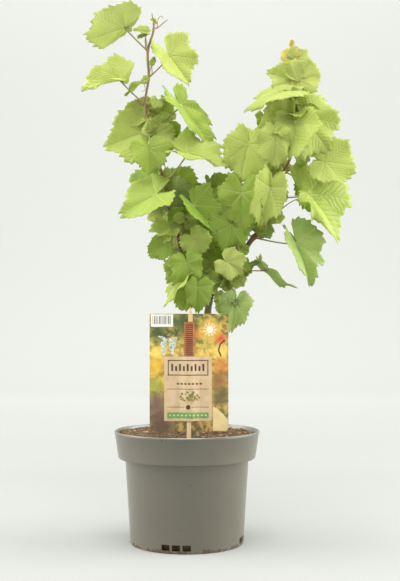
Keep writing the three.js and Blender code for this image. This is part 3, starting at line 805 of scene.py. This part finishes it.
# %% Leaf rows
LEAVES = {
    "leaf_left_top": [("left", 589, (-26, -10, 26), 52, 0.9, 199, 0, 118, 14, 8, "young")],
    "leaf_left_second": [("left", 524, (-28, -9, 27), 51, 0.74, 190, 0, 42, 42, 12, "young")],
    "leaf_left_hanging": [("left", 557, (24, 10, 29), 41, 1.05, -52, 0, -25, 20, 15, "young")],
    "leaf_left_far": [("left", 493, (37, -10, 28), 58, 0.7, -51, 0, -46, 24, 10, "deep")],
    "leaf_left_broad": [("left", 478, (-11, 9, 13), 45, 1.05, 200, 0, 10, 12, 12, "young")],
    "leaf_left_inner": [("left", 493, (-1, -21, -25), 30, 1.05, -88, 0, -15, 20, 10, "mid")],
    "leaf_between": [("left", 429, (27, -24, 32), 50, 0.78, -14, 0, -52, 26, 10, "young")],
    "leaf_left_large": [("left", 429, (-9, -20, -16), 47, 0.92, 207, 0, 44, 10, 12, "mid")],
    "leaf_left_small": [("left", 429, (3, 7, 1), 22, 0.9, 55, 0, 20, 20, 5, "mid")],
    "leaf_left_side_upper": [("left", 374, (-4, -13, 3), 28, 0.95, 188, 0, 45, 10, 10, "mid")],
    "leaf_left_side_lower": [("left", 350, (-21, -21, 4), 21, 0.9, -128, 0, 0, 10, 10, "deep")],
    "leaf_left_low": [("left", 344, (-1, -23, -17), 23, 0.95, -142, 0, 0, 10, 10, "deep")],
    "leaf_right_edge": [("right", 328, (47, -8, -2), 43, 0.42, -44, 0, 78, 15, 15, "blue")],
    "leaf_right_low": [("right", 365, (49, -11, -8), 56, 0.62, -66, 0, -30, 36, 10, "blue")],
    "leaf_right_big": [("right", 413, (38, -22, 1), 64, 1.06, -47, 0, -38, 18, 28, "mid")],
    "leaf_right_outer": [("right", 445, (46, -23, 8), 40, 0.95, -8, 0, -10, 10, 10, "young")],
    "leaf_right_shelf": [("right", 530, (7, -20, -1), 38, 0.7, -14, 0, -50, 14, 20, "young")],
    "leaf_centre": [("right", 432, (-38, -28, 40), 46, 0.86, -102, 0, 10, 12, 12, "young")],
    "leaf_top_arm": [("right", 520, (-12, -32, 14), 52, 0.7, 190, 0, 60, 12, 30, "young")],
    "mass_left_inner": [
        ("left", 524, (13, 15, -6), 28, 1, -60, 0, 0, 10, 10, "young"),
        ("left", 493, (6, -5, -6), 26, 1, 28, 0, -10, 10, 5, "young"),
    ],
    "mass_foot": [
        ("left", 330, (-8, -37, 3), 31, 0.8, -78, 0, 0, 15, 15, "deep"),
        ("left", 330, (-12, -29, -18), 34, 0.7, -128, 0, 62, 20, 10, "mid"),
        ("left", 325, (-10, -21, -24), 26, 1, -112, 0, 0, 10, 10, "deep"),
        ("left", 318, (-4, -39, -14), 29, 0.75, -92, 0, 0, 15, 15, "deep"),
    ],
    "mass_heart": [
        ("left", 358, (18, -26, 4), 24, 1, -50, 0, 10, 5, 10, "mid"),
        ("left", 374, (21, -27, 26), 37, 1, -48, 0, -35, 35, 15, "deep"),
        ("left", 410, (8, 7, 7), 36, 1, -50, 0, 15, 15, 10, "blue"),
        ("left", 395, (71, -11, 23), 30, 1, 168, 0, 20, 10, 10, "deep"),
    ],
    "mass_middle": [
        ("right", 413, (-40, -26, 2), 46, 0.8, -90, 0, 10, 15, 15, "deep"),
        ("right", 365, (-27, -19, 13), 34, 1, -105, 0, -10, 10, 10, "deep"),
        ("right", 345, (-31, 11, 11), 40, 1, -90, 0, 0, 10, 10, "deep"),
    ],
    "mass_low": [
        ("right", 328, (-2, -26, 6), 24, 1, -38, 0, 0, 10, 10, "young"),
        ("right", 328, (10, -12, -13), 13, 1, -45, 0, 0, 10, 5, "mid"),
        ("right", 320, (2, -9, -8), 14, 0.7, -110, 0, 0, 10, 5, "mid"),
    ],
    "mass_label_side": [
        ("head", 300, (16, -16, -9), 22, 0.7, -95, 0, 0, 10, 10, "mid"),
        ("head", 300, (29, -22, -13), 34, 0.72, -100, 0, 0, 15, 10, "blue"),
    ],
    "mass_right_inner": [
        ("right", 413, (-8, -34, 7), 48, 0.6, -104, 0, -15, 20, 10, "young"),
        ("right", 413, (-14, 12, 27), 22, 1, 215, 0, 20, 10, 5, "blue"),
        ("right", 376, (0, -2, 0), 15, 1, -60, 0, 0, 10, 5, "blue"),
    ],
    "mass_right_crown": [
        ("right", 500, (-5, -37, -3), 54, 0.8, -115, 0, 15, 12, 15, "young"),
        ("right", 464, (-22, -43, 13), 36, 0.7, -95, 0, 0, 15, 10, "young"),
        ("right", 500, (8, -33, 3), 52, 0.95, -50, 0, -10, 12, 15, "young"),
        ("right", 500, (2, -23, 14), 35, 1, 188, 0, 55, 12, 15, "mid"),
    ],
    "mass_top": [
        ("right", 560, (-7, -18, -9), 29, 0.9, 160, 0, 0, 10, 10, "young"),
        ("right", 560, (1, -20, -9), 30, 0.95, 12, 0, 0, 10, 10, "young"),
        ("right", 584, (-2, -12, -6), 16, 1, 135, 0, 0, 10, 5, "gold"),
        ("right", 584, (2, -12, -8), 18, 1, 42, 0, 0, 10, 5, "young"),
    ],
    "mass_back_left": [
        ("left", 493, (-8, 26, 4), 38, 1, 195, -35, 20, 10, 15, "young"),
        ("left", 429, (-14, 28, -2), 42, 1, 205, -30, 25, 10, 15, "deep"),
        ("left", 429, (14, 30, 6), 34, 1, -60, -20, 10, 10, 15, "mid"),
    ],
    "mass_back_low": [
        ("left", 344, (6, 30, -14), 34, 1, -100, -20, 0, 10, 15, "deep"),
        ("right", 345, (-24, 32, 24), 40, 1, -100, -25, 0, 10, 15, "blue"),
        ("right", 345, (-40, 24, 60), 36, 1, 150, -25, 10, 10, 15, "deep"),
    ],
    "mass_back_right": [
        ("right", 432, (-24, 30, 34), 42, 1, 150, -30, 10, 10, 15, "mid"),
        ("right", 445, (40, 26, -12), 44, 1, -40, -25, 0, 10, 20, "deep"),
        ("right", 530, (-4, 22, 12), 34, 1, 165, -30, 30, 10, 15, "mid"),
    ],
}


def cane_of(node):
    """The shoot that bears a solid's leaves; those on the trunk's head count as right."""
    return "left" if LEAVES[node][0][0] == "left" else "right"


GROUPS = {"left": [], "right": [], "back": []}
for node in LEAVES:
    GROUPS["back" if "back" in node else cane_of(node)].append(node)
print(sum(map(len, LEAVES.values())), "large leaves")

# %% [markdown]
# ## Growing the rest by rule
#
# Between its large leaves a vine carries many small ones on short side shoots. For each mass,
# a seeded rule grows side shoots from the cane inside that mass's own box. Each bends upwards
# and bears small leaves left and right in turn, smaller towards its tip.

# %% Leaves whose outline is cut short, or drawn out, on one side
TRIMS = {
    "leaf_left_top": [(-1, [(34, 1), (60, 0.5), (90, 0.32), (180, 0.3)])],
    "leaf_left_second": [(-1, [(125, 1), (150, 0.5), (180, 0.4)]),
                         (1, [(85, 1), (115, 0.35), (180, 0.3)])],
    "leaf_left_far": [(1, [(46, 1), (62, 0.6), (95, 0.45), (125, 0.95), (180, 0.9)])],
    "leaf_left_hanging": [(1, [(60, 0.92), (110, 1), (140, 1.15), (160, 1.2), (180, 0.3)]),
                          (-1, [(20, 1), (45, 0.8), (72, 0.62), (110, 0.7), (150, 1.1),
                                (168, 1.8), (180, 0.3)])],
    "leaf_right_big": [(-1, [(8, 1), (30, 0.62), (60, 0.42), (180, 0.36)]),
                       (1, [(130, 1), (150, 1.25), (165, 1.5), (180, 1)])],
    "leaf_right_low": [(1, [(8, 1), (20, 0.78), (34, 0.85), (46, 1.15), (60, 0.95), (90, 1.1)])],
}
print(len(TRIMS), "solids with trimmed leaves")

# %% Side shoots by rule
stalks, small_leaves = [], {name: [] for name in GROUPS}


def stalk_path(start, joint, sag):
    """A leaf stalk: it leaves the cane, sags a little and meets the blade."""
    middle = start.lerp(joint, 0.5)
    middle.z -= sag * (joint - start).length
    return [start * (1 - t) ** 2 + middle * (2 * t * (1 - t)) + joint * t**2
            for t in np.linspace(0, 1, 9)]


def grow_side_shoot(rule, start, way, length, leaf_size, tone, box):
    """A thin shoot with small leaves in turn on its two sides, kept inside a box."""
    low, high = box
    spot, heading, path = start.copy(), way.normalized(), [start.copy()]
    steps = 6
    for step in range(steps):
        heading = (heading + Vector((0, 0, 0.12)) + Vector(
            [rule.uniform(-0.2, 0.2) for _ in range(3)])).normalized()
        spot = spot + heading * length / steps
        path.append(spot.copy())
    stalks.append((path, np.linspace(0.8, 0.35, len(path))))
    grown = []
    for index, spot in enumerate(path[2:]):
        side = heading.cross(Vector((0, 0, 1))).normalized() * (1 if index % 2 else -1)
        size = leaf_size * (1.15 - 0.13 * index) * rule.uniform(0.8, 1.15)
        joint = spot + side * size * 0.5 + Vector((0, rule.uniform(-4, 4), size * 0.25))
        if not all(low[i] - 2 < joint[i] < high[i] + 2 for i in range(3)):
            continue
        stalks.append((stalk_path(spot, joint, 0.05), np.linspace(0.5, 0.4, 9)))
        aim = math.degrees(math.atan2(side.z - 0.35, side.x)) + rule.uniform(-25, 25)
        out = math.degrees(math.asin(max(-0.9, min(0.9, -side.y)))) * 0.6
        grown.append(Leaf(joint, size, rule.uniform(0.8, 1), aim, out, rule.uniform(-40, 40),
                          rule.uniform(8, 28), 14, tone, rule.randint(0, 9999)))
    return grown


def in_millimetres(node):
    """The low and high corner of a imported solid's box."""
    return [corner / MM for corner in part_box(node)]


# For each mass: how many side shoots, the size of their leaves, and the tones to choose from.
RULES = {
    "mass_left_inner": (2, 13, "mid", "young"), "mass_foot": (3, 14, "mid", "mid"),
    "mass_heart": (4, 15, "deep", "mid"), "mass_middle": (4, 15, "deep", "mid"),
    "mass_low": (2, 11, "mid", "mid"), "mass_label_side": (1, 9, "mid", "blue"),
    "mass_right_inner": (3, 12, "young", "mid"), "mass_right_crown": (4, 14, "young", "mid"),
    "mass_top": (2, 9, "gold", "young"), "mass_back_left": (4, 20, "mid", "young"),
    "mass_back_low": (5, 20, "deep", "mid"), "mass_back_right": (6, 20, "mid", "young"),
}
for mass, (count, leaf_size, *tones) in RULES.items():
    rule = random.Random(mass)
    box = in_millimetres(mass)
    group = next(name for name, members in GROUPS.items() if mass in members)
    for _ in range(count):
        height = rule.uniform(box[0].z, box[1].z)
        start = shoot_point(cane_of(mass), max(306, height - 12))
        middle = (box[0] + box[1]) / 2
        target = Vector([rule.uniform(box[0][i] * 0.75 + middle[i] * 0.25,
                                      box[1][i] * 0.75 + middle[i] * 0.25) for i in range(3)])
        target.z = height
        small_leaves[group] += grow_side_shoot(rule, start, target - start,
                                               (target - start).length, leaf_size,
                                               rule.choice(tones), box)
print({name: len(grown) for name, grown in small_leaves.items()}, "small leaves")

# %% Joined blades
def blades_mesh(name, batches):
    """One mesh of many blades; batches are (disc, vein frame, leaves)."""
    points, faces, tones, shades, frames, first = [], [], [], [], [], 0
    for (share, angle, pattern), frame_rows, leaves in batches:
        for leaf in leaves:
            points.append(leaf.place(share, angle, 0.0))
            faces += [[first + corner for corner in face] for face in pattern]
            tones += [TONE_PLACE[leaf.tone]] * len(pattern)
            shades += [leaf.shade] * len(share)
            frames.append(frame_rows)
            first += len(share)
    mesh = bpy.data.meshes.new(name)
    mesh.from_pydata(np.concatenate(points).tolist(), [], faces)
    mesh.polygons.foreach_set("material_index", tones)
    mesh.attributes.new("shade", "FLOAT", "POINT").data.foreach_set("value", shades)
    mesh.uv_layers.new(name="veins").data.foreach_set("uv", np.concatenate(frames).ravel())
    return mesh


STALK_SWELL = np.array([1.5, 1.05, 0.9, 0.85, 0.82, 0.82, 0.85, 0.95, 1.05])
large_leaves = {}
for group, members in GROUPS.items():
    large_leaves[group] = []
    for node in members:
        for index, (shoot, height, reach, *measures) in enumerate(LEAVES[node]):
            start = shoot_point(shoot, height)
            leaf = Leaf(start + Vector(reach), *measures, seed=f"{node}{index}",
                        trims=TRIMS.get(node, ()))
            large_leaves[group].append(leaf)
            path = stalk_path(start, leaf.joint + leaf.along * 1.5, 0.06)
            stalks.append((path, STALK_SWELL * (0.75 + leaf.length / 160)))



def add_blades(name, batches, replaced):
    """A piece of joined blades; the underside takes the next material in the list."""
    piece = add_piece(name, blades_mesh(name, batches), replaced, leaf_materials)
    shell = piece.modifiers.new("thickness", "SOLIDIFY")
    shell.thickness, shell.offset, shell.material_offset = LEAF_THICKNESS * MM, 0, 1


for group, members in GROUPS.items():
    add_blades("leaves_" + group, [(large_disc, large_frame, large_leaves[group]),
                                   (small_disc, small_frame, small_leaves[group])],
               members)

# %% Main veins as ridges on the underside
RIDGE_POINTS = 14
for group, leaves in large_leaves.items():
    ridges = []
    for leaf in leaves:
        for main in VEINS:
            line = leaf.place(np.linspace(0, 0.9, RIDGE_POINTS),
                              np.full(RIDGE_POINTS, math.radians(main)), -0.25)
            ridges.append((line, np.linspace(0.35 + leaf.length / 160, 0.15, RIDGE_POINTS)))
    add_piece("veins_" + group, strand_mesh("veins", ridges, 0), [], [vein_pale])

# %% [markdown]
# ## Stalks, cut stubs and tendrils
#
# Every leaf has its stalk, swollen where it leaves the cane. The real plant also has bare
# stubs where leaves fell, a few thin side stems, and tendrils that curl at their ends.

# %% Small stems
def tendril(start, way, length, curl, turns):
    """A fine thread that runs straight and then coils."""
    way = Vector(way).normalized()
    side = way.cross(Vector((0, -1, 0.2))).normalized()
    points, spot = [], Vector(start)
    for step in range(26):
        share = step / 25
        bend = curl * share**2 * turns
        heading = way * math.cos(bend) + side * math.sin(bend)
        spot = spot + heading * length / 25 * (1.2 - 0.7 * share)
        points.append(spot.copy())
    return points, np.linspace(0.55, 0.22, 26)


# Side stems and stubs: points to pass through, and the radius at the start and at the end.
STEMS = [
    ([(-49, 0, 590), (-50, -2, 600), (-49, -4, 610)], 0.9, 0.5),
    ([(-40, 0, 616), (-36, -1, 616), (-29, -3, 621), (-23, -4, 625)], 0.8, 0.5),
    ([(-36, -1, 616), (-35, -3, 624)], 0.6, 0.4),
    ([(-46, 0, 557), (-51, -2, 554), (-52, -2, 559)], 1.1, 0.6),
    ([(-46, 0, 557), (-42, -3, 560), (-43, -6, 575)], 0.9, 0.5),
    ([(-47, -1, 550), (-52, -8, 549.6)], 0.8, 0.6),
    ([(-50, -3, 524), (-53, -4, 529)], 1.2, 0.9),
    ([(-50, -3, 524), (-45, -4, 524)], 1.1, 0.8),
    ([(-44, -5, 493), (-41, -4, 497), (-42, -3, 503)], 1, 0.7),
    ([(-27, -6, 429), (-32, -8, 436), (-30, -7, 446)], 0.9, 0.6),
    ([(-27, -6, 429), (-24, -9, 440), (-27, -10, 452)], 0.9, 0.6),
    ([(-13, -5, 374), (-18, -12, 362), (-14, -16, 352), (-7, -14, 349)], 0.7, 0.5),
    ([(105, -2, 407), (100, -12, 424), (92, -20, 442)], 1, 0.6),
    ([(105, -2, 407), (104, -10, 425), (101, -16, 444)], 1, 0.6),
    ([(106, -2, 410), (112, -8, 422), (120, -12, 432)], 1, 0.6),
    ([(105, -2, 409), (108, -8, 396), (122, -15, 405), (137, -20, 412)], 0.9, 0.6),
    ([(-21, -5, 395), (-27, -8, 402), (-31, -9, 409)], 1, 0.7),
    ([(94, -4, 379), (90, -6, 385)], 1.4, 1.0),
    ([(145, -10, 463), (150, -13, 467), (158, -16, 465)], 0.7, 0.5),
]
for points, thick, thin in STEMS:
    line = through(points, 6)
    stalks.append((line, np.linspace(thick, thin, len(line))))
TENDRILS = [
    ((-35, -3, 624), (0.3, 0, 1), 14, 5, 1), ((-43, -6, 575), (0.2, 0, 1), 12, 6, 1),
    ((-52, -8, 549), (0.5, 0, -1), 16, 3, 1), ((-18, -12, 362), (-0.6, -0.3, -1), 26, 4, 1),
    ((125, 3, 560), (1, 0.6, 0.3), 18, 6, 1), ((60, 2, 345), (0.2, 1, 0.4), 24, 7, 1),
]
stalks += [tendril(*row) for row in TENDRILS]

SMALL_ROWS = [
    ("left", 589, (-3, -4, 22), 15, 0.7, 165, 0, 40, 20, 10, "young"),
    ("left", 589, (-3, -4, 18), 11, 0.6, 200, 0, 40, 20, 10, "young"),
    ("left", 550, (-8, -8, -2), 26, 0.34, 213, 0, 50, 20, 20, "mid"),
    ("left", 557, (4, -6, 16), 9, 0.6, 60, 0, 30, 20, 10, "young"),
    ("right", 590, (-1, -4, 6), 7, 0.7, 80, 0, 0, 30, 10, "gold"),
    ("left", 615, (1, -1, 8), 7, 0.6, 130, 0, 30, 20, 10, "young"),
]
extra = []
for index, (shoot, height, reach, *measures) in enumerate(SMALL_ROWS):
    start = shoot_point(shoot, height)
    leaf = Leaf(start + Vector(reach), *measures, seed=f"small{index}")
    extra.append(leaf)
    stalks.append((stalk_path(start, leaf.joint, 0.05), np.linspace(0.6, 0.45, 9)))
add_blades("leaves_tips", [(small_disc, small_frame, extra)], [])
add_piece("leaf_stalks", strand_mesh("leaf_stalks", stalks, 1), [], [stalk_red])

# %% [markdown]
# ## The care card and its stick
#
# A printed card stands behind a flat bamboo stick. The print is generic: a sunny vineyard, a
# bunch of pale grapes, a brown ribbed strap and a kraft panel with small drawings and no
# lettering. The vineyard is a node material. What has a crisp edge is a thin plate of its own.

# %% Card material
CARD_LEFT, CARD_FOOT, CARD_WIDTH, CARD_HEIGHT = -42.6, 137.2, 91, 136
CARD_FRONT, CARD_THICKNESS = -46, 0.8
card_print, tree, shader, place = new_material("card_print", 0.38)
up = ranged(tree, along_axis(tree, place, "Z"), CARD_FOOT * MM, (CARD_FOOT + CARD_HEIGHT) * MM)
# The scene in level bands, from the card's foot up, under blots of the same colours.
bands = [(0.0, (108, 88, 74)), (0.16, (128, 104, 80)), (0.3, (136, 128, 62)),
         (0.44, (204, 170, 66)), (0.52, (190, 136, 66)), (0.58, (146, 104, 62)),
         (0.66, (226, 188, 92)), (0.76, (150, 150, 78)), (0.88, (96, 110, 62)),
         (0.97, (84, 104, 62))]
tints = [(0.3, (62, 70, 40)), (0.42, (110, 112, 56)), (0.5, (206, 168, 64)),
         (0.58, (240, 216, 120)), (0.66, (202, 128, 66)), (0.75, (110, 80, 56))]
blots = noise_at(tree, place, 130.0, 6.0, Distortion=0.3)
sunny = blended(tree, 0.5, colour_stops(tree, up, bands), colour_stops(tree, blots, tints))


def glow_at(x, z, reach, shade, under, softness):
    """Lays a soft round spot of a colour over another colour."""
    away = add_node(tree, "ShaderNodeVectorMath", {
        0: place, 1: (x * MM, CARD_FRONT * MM, z * MM)}, operation="DISTANCE")
    near = ranged(tree, away.outputs["Value"], reach * MM, 0.0)
    return blended(tree, node_math(tree, "POWER", near, softness), under, shade)


# Spots of the print: x, z, reach, colour, and softness, where less is stronger.
SPOTS = [
    (-2, 262, 18, (74, 92, 54), 0.5), (-32, 252, 15, (68, 84, 48), 0.6),
    (-36, 214, 13, (226, 184, 66), 0.7), (-35, 228, 8, (238, 212, 104), 0.7),
    (-37, 191, 13, (156, 158, 66), 0.7), (-34, 166, 19, (120, 94, 80), 0.35),
    (-28, 145, 17, (98, 76, 68), 0.3), (38, 230, 11, (240, 206, 104), 0.7),
    (40, 214, 11, (206, 134, 66), 0.7), (38, 196, 14, (140, 98, 60), 0.5),
    (40, 178, 13, (110, 92, 62), 0.45), (12, 250, 8, (214, 140, 70), 0.8),
    (39, 245, 9, (204, 74, 50), 0.7), (27, 255, 15, (250, 202, 92), 0.7),
    (27, 255, 8, (255, 248, 222), 0.5),
]
for x, z, reach, shade, softness in SPOTS:
    sunny = glow_at(x, z, reach, colour(*shade), sunny, softness)
at_back = node_math(tree, "GREATER_THAN", along_axis(tree, place, "Y"),
                    (CARD_FRONT + CARD_THICKNESS - 0.1) * MM)
feed(tree, shader, {"Base Color": blended(tree, at_back, sunny, colour(226, 222, 208))})
print(len(SPOTS), "soft spots in the print")

# %% Card sheet
def raised_face(mesh, points, rise, tone=0):
    """Makes one flat face through points and draws it out along Y into a solid plate."""
    face = mesh.faces.new([mesh.verts.new(point) for point in points])
    face.material_index = tone
    shift_new(mesh, bmesh.ops.extrude_face_region(mesh, geom=[face]), (0, rise, 0))


def plate(mesh, left, right, low, high, front, thick, corners=(0, 0, 0, 0), tone=0):
    """A thin upright plate; corners are radii from bottom left, anticlockwise."""
    outline = []
    for (x, z, turn), radius in zip(((left, low, 180), (right, low, 270), (right, high, 0),
                                     (left, high, 90)), corners):
        cx = x + radius * (1 if x == left else -1)
        cz = z + radius * (1 if z == low else -1)
        steps = 6 if radius else 0
        for step in range(steps + 1):
            angle = math.radians(turn + 90 * step / max(1, steps))
            outline.append((cx + radius * math.cos(angle), front, cz + radius * math.sin(angle)))
    raised_face(mesh, outline, thick, tone)


sheet = bmesh.new()
plate(sheet, CARD_LEFT, CARD_LEFT + CARD_WIDTH, CARD_FOOT, CARD_FOOT + CARD_HEIGHT, CARD_FRONT,
      CARD_THICKNESS, (7, 7, 0, 0))
bmesh.ops.recalc_face_normals(sheet, faces=sheet.faces)
bevel_edges(sheet, sheet.edges[:], 0.18, 2)
add_piece("care_card", mesh_of(sheet, "care_card"), ["label_card"], [card_print],
          smooth=False)

# %% Print in plates
PRINT_TONES = [
    ("cream", (226, 204, 148), (212, 188, 130), 60, 0.4),
    ("white", (238, 238, 230), (228, 228, 220), 60, 0.4),
    ("kraft", (208, 182, 144), (196, 168, 130), 120, 0.55),
    ("ink", (84, 66, 48), (70, 54, 40), 60, 0.5),
    ("green", (96, 150, 84), (120, 166, 92), 160, 0.45),
    ("strap", (172, 104, 58), (146, 82, 46), 140, 0.5),
    ("fruit", (164, 150, 78), (128, 106, 58), 300, 0.45),
    ("gold", (246, 208, 96), (232, 176, 70), 160, 0.4),
    ("olive", (140, 144, 76), (104, 96, 56), 260, 0.45),
]
prints = [simple_finish("print_" + name, *row) for name, *row in PRINT_TONES]
CREAM, WHITE, KRAFT, INK, GREEN, STRAP, FRUIT, GOLD, OLIVE = range(len(prints))
FRONT, PRINT_THICKNESS = CARD_FRONT - 0.12, 0.1
marks = bmesh.new()
plate(marks, -41, -15.5, 258.2, 272.4, FRONT, PRINT_THICKNESS, tone=WHITE)
for bar in range(12):
    left = -39 + bar * 1.8
    plate(marks, left, left + (0.5, 0.9, 0.7)[bar % 3], 261.2, 270.8, FRONT - 0.08,
          PRINT_THICKNESS, tone=INK)
raised_face(marks, [(x, FRONT, z) for x, z in (
    (30.5, 137.8), (46.5, 137.8), (47.9, 141), (47.9, 150), (42, 158), (33, 165), (30.5, 166))],
    PRINT_THICKNESS, CREAM)

RAYS, RAY_FOOT, HALF_RAY = 22, 4, 0.09
for index in range(RAYS):
    angle, far = 2 * math.pi * index / RAYS, 12.5 if index % 2 else 9
    corners = ((angle - HALF_RAY, RAY_FOOT), (angle + HALF_RAY, RAY_FOOT), (angle, far))
    raised_face(marks, [(27 + math.cos(turn) * out, FRONT, 255 + math.sin(turn) * out)
                        for turn, out in corners],
                PRINT_THICKNESS, STRAP if index % 2 else GOLD)
for bends, wide in (([(40, 224), (37, 231), (39, 238), (44, 243)], 0.8),
                    ([(-24, 256), (-20, 252), (-26, 248), (-18, 246)], 0.5),
                    ([(-14, 257), (-11, 251), (-13, 247)], 0.5)):
    for (x, z), (x2, z2) in zip(bends, bends[1:]):
        side = Vector((z2 - z, 0, x - x2)).normalized() * wide
        near, far = Vector((x, FRONT, z)), Vector((x2, FRONT, z2))
        raised_face(marks, [near - side, far - side, far + side, near + side], PRINT_THICKNESS,
                    INK)
bmesh.ops.recalc_face_normals(marks, faces=marks.faces)
add_piece("card_marks", mesh_of(marks, "card_marks"), [], prints, smooth=False)

# %% Grapes in the print
bunch = bmesh.new()
berry = Matrix.Diagonal((1.35, 0.25, 1.35, 1))
pick = random.Random(3)
for middle, top, rows in ((-27, 246, 8), (-16, 244, 7)):
    for row in range(rows):
        wide = 4.6 * (1 - row / rows) ** 0.7
        for _ in range(5):
            x = middle + pick.uniform(-wide, wide)
            z = top - row * 2.7 + pick.uniform(-0.9, 0.9)
            bmesh.ops.create_uvsphere(bunch, u_segments=8, v_segments=5, radius=1,
                                      matrix=Matrix.Translation((x, FRONT + 0.1, z)) @ berry)
grape = simple_finish("print_grape", (206, 214, 204), (158, 174, 168), 300, 0.35)
add_piece("card_grapes", mesh_of(bunch, "card_grapes"), [], [grape])

# %% Kraft panel over the stick
STICK_MIDDLE, STICK_ROOM, STICK_DEPTH = 3.4, 4.0, 3.25
PANEL_SLOPE, STRAP_SLOPE, PANEL_TOP = 8.0, 2.6, 223.8
# Where a strip is cut upright, so that it can bend over the stick.
CUTS = [-8.6, -7, -5.4, -4, -2.7, -1.7, -1.1, -0.6, 0.5, 3.4, 6.4, 7.4, 7.9, 8.5, 9.4, 10.8, 12.2,
        13.8, 15.4]


def over_stick(x, slope):
    """How far the paper stands proud of the card at x; it falls back to it over a slope's width."""
    away = max(0.0, abs(x - STICK_MIDDLE) - STICK_ROOM)
    return STICK_DEPTH * max(0.0, 1 - away / slope) ** 1.2


def strip(left, right, low, high, front, thick, tone, corner):
    """A flat strip laid over the stick: it follows the bulge. The panel falls back gently."""
    slope = STRAP_SLOPE if low >= PANEL_TOP else PANEL_SLOPE
    made = bmesh.new()
    plate(made, left, right, low, high, front, thick, (corner,) * 4, tone)
    for cut in CUTS:
        if left < cut < right:
            bmesh.ops.bisect_plane(made, geom=made.verts[:] + made.edges[:] + made.faces[:],
                                   plane_co=(cut, 0, 0), plane_no=(1, 0, 0), dist=1e-4)
    for vert in made.verts:
        vert.co.y -= over_stick(vert.co.x, slope)
    return made


LINES = [(-21.5, 25.2, 218.9, 219.9), (-21.5, 25.2, 202.0, 203.0), (-21.5, -20.5, 202.0, 219.9),
         (24.2, 25.2, 202.0, 219.9), (-22.5, 25.8, 186.1, 186.6), (-22.5, -2.5, 165.3, 165.8),
         (6.0, 25.8, 165.3, 165.8)]
INKED = (FRONT - 0.12, 0.2, INK)
layers = [(-25.8, 29.3, 149.4, PANEL_TOP, FRONT, 0.5, KRAFT, 1)]
layers += [(*line, *INKED, 0) for line in LINES]
layers += [(-22.2, 25.6, 152.6, 159.4, FRONT - 0.12, 0.2, GREEN, 1),
           (-2.8, 9.4, PANEL_TOP, 264.0, FRONT, 0.5, STRAP, 0)]
for index in range(15):
    layers.append((-1.2, 7.8, 226 + index * 2.4, 227.1 + index * 2.4, FRONT - 0.1, 0.15, INK, 0))
for index in range(9):
    middle = -16.5 + index * 4.5
    layers.append((middle - 1.1, middle + 1.1, 207, 215.5 - (index % 2) * 2.5, *INKED, 1))
for index in range(7):
    middle = -10 + index * 4.4
    layers.append((middle - 1.5, middle + 1.5, 191.5, 193.3, *INKED, 0.8))
for index in range(10):
    middle = -19 + index * 4.6
    layers.append((middle - 1.2, middle + 1.2, 155.2, 156.8, FRONT - 0.22, 0.2, CREAM, 0.7))
front_panel = bmesh.new()
scratch = bpy.data.meshes.new("layer")
for layer in layers:
    made = strip(*layer)
    made.to_mesh(scratch)
    made.free()
    front_panel.from_mesh(scratch)
bpy.data.meshes.remove(scratch)

# %% Small drawings on the panel
SPRIG_HEIGHT = 176
pick = random.Random(11)
for _ in range(46):
    x, z = pick.gauss(3, 6), pick.gauss(175.5, 2.8)
    z += (x - 3) * 0.12
    if abs(z - SPRIG_HEIGHT) > 7 or abs(x - 3) > 14:
        continue
    size = pick.uniform(0.7, 1.5)
    where = Matrix.Translation((x, FRONT - over_stick(x, PANEL_SLOPE) - 0.2, z))
    made = bmesh.ops.create_icosphere(front_panel, subdivisions=1, radius=1,
                                      matrix=where @ Matrix.Diagonal((size * 1.5, 0.2, size, 1)))
    for vert in made["verts"]:
        for face in vert.link_faces:
            face.material_index = OLIVE if z > SPRIG_HEIGHT else FRUIT
ring = bmesh.ops.create_circle(front_panel, segments=24, radius=2.6,
                               matrix=Matrix.Translation((2, FRONT - 3.5, 165.5))
                               @ Matrix.Rotation(math.pi / 2, 4, "X"), cap_ends=True)
ring["verts"][0].link_faces[0].material_index = INK
bmesh.ops.recalc_face_normals(front_panel, faces=front_panel.faces)
add_piece("card_panel", mesh_of(front_panel, "card_panel"), ["label_sleeve"], prints,
          smooth=False)

# %% Bamboo stick
bamboo, tree, shader, place = new_material("bamboo", 0.5)
fibres = stretched(tree, place, (1, 1, 0.03))
streaked = use_group(tree, patches, Vector=fibres, Colour=colour(232, 208, 164),
                     Other=colour(196, 164, 116), Scale=900.0, Amount=1.0)
feed(tree, shader, {"Base Color": streaked["Colour"]})
add_bump(tree, shader, use_group(tree, grit, Vector=fibres, Scale=1500.0, Detail=2.0)["Height"],
         0.4, 0.3)
STICK_FOOT, STICK_LENGTH, STICK_LEAN = 98, 182.5, 2.4
stick = bmesh.new()
raised_face(stick, [(x, -46.35, z) for x, z in (
    (-2.5, STICK_FOOT), (2.5, STICK_FOOT), (2.5, 271.5), (0.6, 280.5), (-0.6, 280.5),
    (-2.5, 271.5))], -2)
bmesh.ops.recalc_face_normals(stick, faces=stick.faces)
bevel_edges(stick, stick.edges[:], 0.35, 2)
for vert in stick.verts:
    vert.co.x += STICK_MIDDLE + STICK_LEAN * ((vert.co.z - STICK_FOOT) / STICK_LENGTH - 0.5)
add_piece("bamboo_stick", mesh_of(stick, "bamboo_stick"), ["label_stick"], [bamboo],
          smooth=False)
